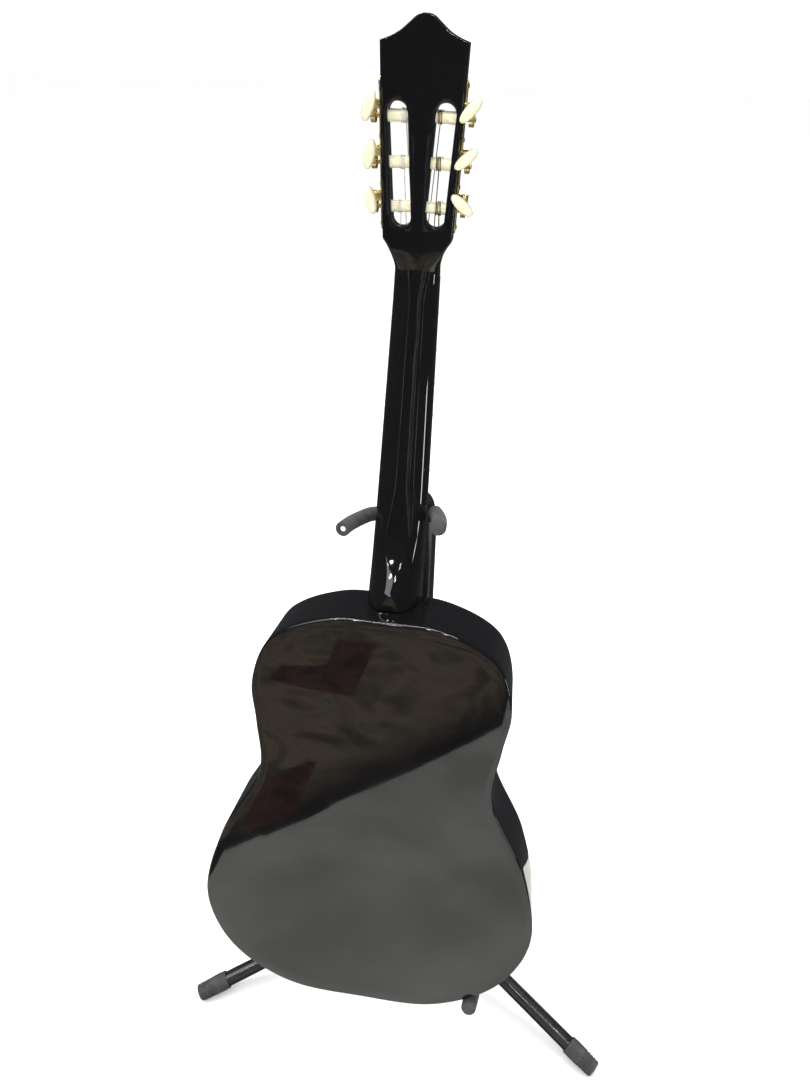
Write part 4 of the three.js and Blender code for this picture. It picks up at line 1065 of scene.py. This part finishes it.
def mirror_paint(name):
    return Paint(name, (0, 0, 0), 1.0, Specular_IOR_Level=0.0, Emission_Strength=1.0)


def stage_and_lights():
    """Pale floor, the cards that the lacquer mirrors, and studio lights."""
    mesh = bpy.data.meshes.new("floor")
    bm = bmesh.new()
    bmesh.ops.create_grid(bm, x_segments=2, y_segments=2, size=30)
    bm.to_mesh(mesh)
    bm.free()
    floor = linked("floor", mesh)
    paint = Paint("pale_floor", (0.9, 0.9, 0.9), 0.7, Specular_IOR_Level=0.2)
    paint.color(paint.ramp(paint.noise(1.2, 3), [(0.3, (0.91, 0.91, 0.905)), (0.7, (0.93, 0.93, 0.925))]))
    mesh.materials.append(paint.mat)
    floor.visible_glossy = False

    room = mirror_paint("room_card")
    tone = room.ramp(room.noise(8, 6, 0.6, (0.9, 1, 1.9), 1.3),
                     [(0.34, (0.16, 0.13, 0.085)), (0.46, (0.33, 0.26, 0.175)), (0.53, (0.5, 0.38, 0.26)),
                      (0.6, (0.33, 0.29, 0.2)), (0.7, (0.18, 0.155, 0.105))])
    x, z = (room.node("SeparateXYZ", axis, {0: room.coord}) for axis in "XZ")
    slope = room.node("Math", "Value", {0: x, 1: -0.57, 2: z}, operation="MULTIPLY_ADD")
    fade = room.ramp(slope, [(0.18, 0.05), (0.205, 0.1), (0.29, 1.0)])
    room.glow(room.node("Mix", "Result", {"Factor": 1.0, "A": tone, "B": fade}, data_type="RGBA",
                        blend_type="MULTIPLY"))
    y = -1.0  # where the upright cards stand
    card("room_low", [(-0.9, y, -0.333), (0.75, y, 0.6075), (0.75, y, 0.66), (-0.9, y, 0.66)], room)
    cloth = mirror_paint("cloth_card")
    cloth.glow(cloth.ramp(cloth.noise(14, 5, 0.6, (1, 1, 2.2), 1.4),
                          [(0.36, (0.05, 0.028, 0.02)), (0.46, (0.14, 0.048, 0.038)),
                           (0.54, (0.21, 0.07, 0.054)), (0.66, (0.18, 0.14, 0.1))]))
    outlines = (((-0.19, 0.43), (-0.11, 0.43), (-0.15, 0.315), (-0.34, 0.325), (-0.31, 0.36), (-0.21, 0.375)),
                ((-0.335, 0.12), (-0.225, 0.165), (-0.26, 0.06), (-0.385, -0.01)))
    for k, corners in enumerate(outlines):
        card(f"cloth_{k}", [(x, y + 0.004, z) for x, z in corners], cloth)

    dark = mirror_paint("dark_card")
    dark.glow(dark.ramp(dark.noise(3, 3), [(0.3, (0.02, 0.02, 0.021)), (0.7, (0.06, 0.06, 0.062))]))
    card("room_high", upright(-0.9, 0.75, y, 0.66, 1.3), dark)

    under = -0.002  # just below the floor, which mirrors don't see
    pale = mirror_paint("pale_card")
    pale.glow(pale.ramp(pale.noise(3.5, 3, 0.5), [(0.35, (0.8, 0.81, 0.75)), (0.65, (1.16, 1.16, 1.07))]))
    card("floor_mirror", [(-1.6, -2.6, under), (1.6, -2.6, under), (1.6, -0.3, under), (-1.6, -0.3, under)], pale)
    card("cloth_floor", [(-0.33, -0.995, 0), (-0.52, -0.69, 0), (-1.6, -0.69, 0), (-1.6, -0.995, 0)], dark)
    card("floor_patch", [(0.1, -0.06, under), (0.3, -0.06, under), (0.3, 0.15, under), (0.1, 0.15, under)], pale)

    window = mirror_paint("window_card")
    window.glow(window.ramp(window.noise(9, 4, 0.6), [(0.35, (0.1, 0.1, 0.1)), (0.5, (1.3, 1.32, 1.36)),
                                                      (0.7, (2.6, 2.65, 2.7))]))
    for k, (x, w) in enumerate(((-0.3, 0.012), (0.06, 0.012), (0.12, 0.01), (0.22, 0.014), (0.5, 0.02))):
        card(f"window_{k}", upright(x, x + w, y + 0.01, 0.68, 1.1), window)

    world = bpy.context.scene.world or bpy.data.worlds.new("studio")
    bpy.context.scene.world = world
    world.use_nodes = True
    tree = world.node_tree
    back = tree.nodes["Background"]
    path = tree.nodes.new("ShaderNodeLightPath")
    pick = tree.nodes.new("ShaderNodeMix")
    pick.data_type = "RGBA"
    pick.inputs["A"].default_value = (1.0, 1.0, 1.0, 1)
    pick.inputs["B"].default_value = (0.036, 0.037, 0.04, 1)
    tree.links.new(path.outputs["Is Glossy Ray"], pick.inputs["Factor"])
    tree.links.new(pick.outputs["Result"], back.inputs["Color"])
    back.inputs["Strength"].default_value = 1.2

    for name, at, aim, wide, deep, power in (
            ("key", (-1.3, -0.9, 3.2), (0, 0, 0.6), 2.6, 2.2, 42),
            ("strip", (-0.1, 0.4, 3.0), (-0.1, 0.4, 0), 2.6, 0.1, 55),
            ("side", (2.0, -0.5, 0.42), (0, 0, 0.35), 0.2, 0.5, 3),
            *((f"lamp_{i}{j}", (-0.9 + 0.55 * i, -1.35 - 0.6 * j, 2.7), (0, 0, 0.7), 0.1, 0.1, 2.6)
              for i in range(4) for j in range(2))):
        data = bpy.data.lights.new(name, "AREA")
        data.shape = "RECTANGLE"
        data.size, data.size_y, data.energy = wide, deep, power
        lamp = linked(name, data)
        lamp.location = at
        lamp.rotation_euler = (Vector(aim) - Vector(at)).to_track_quat("-Z", "Y").to_euler()
    bpy.context.scene.view_settings.view_transform = "Standard"


def camera():
    data = bpy.data.cameras.new("camera")
    data.lens, data.sensor_width = 27.66, 36
    cam = linked("camera", data)
    right = Vector((0.9842, 0.1759, 0.0215)).normalized()
    forward = Vector((-0.1403, 0.8473, -0.5123)).normalized()
    up = right.cross(forward).normalized()
    right = forward.cross(up)
    spot = MM * (STAND @ Vector((100.5, -737.2, 1101.85)))
    turn = Matrix((right, up, -forward)).transposed().to_4x4()
    cam.matrix_world = Matrix.Translation(spot) @ turn
    bpy.context.scene.camera = cam


camera()
body_shell()
wood_inside()
rosette()
neck()
for label, sgn in (("right", 1), ("left", -1)):
    tuner_plate(sgn, label)
    for k in range(3):
        roller(sgn, label, k)
        button(sgn, label, k)
fretboard()
front_fittings()
strings()
legs()
hub()
mast()
cradle()
yoke()
for node in ("neck_block", "tail_block", "top_brace", "back_brace"):
    repaint(node, BARE)
stage_and_lights()
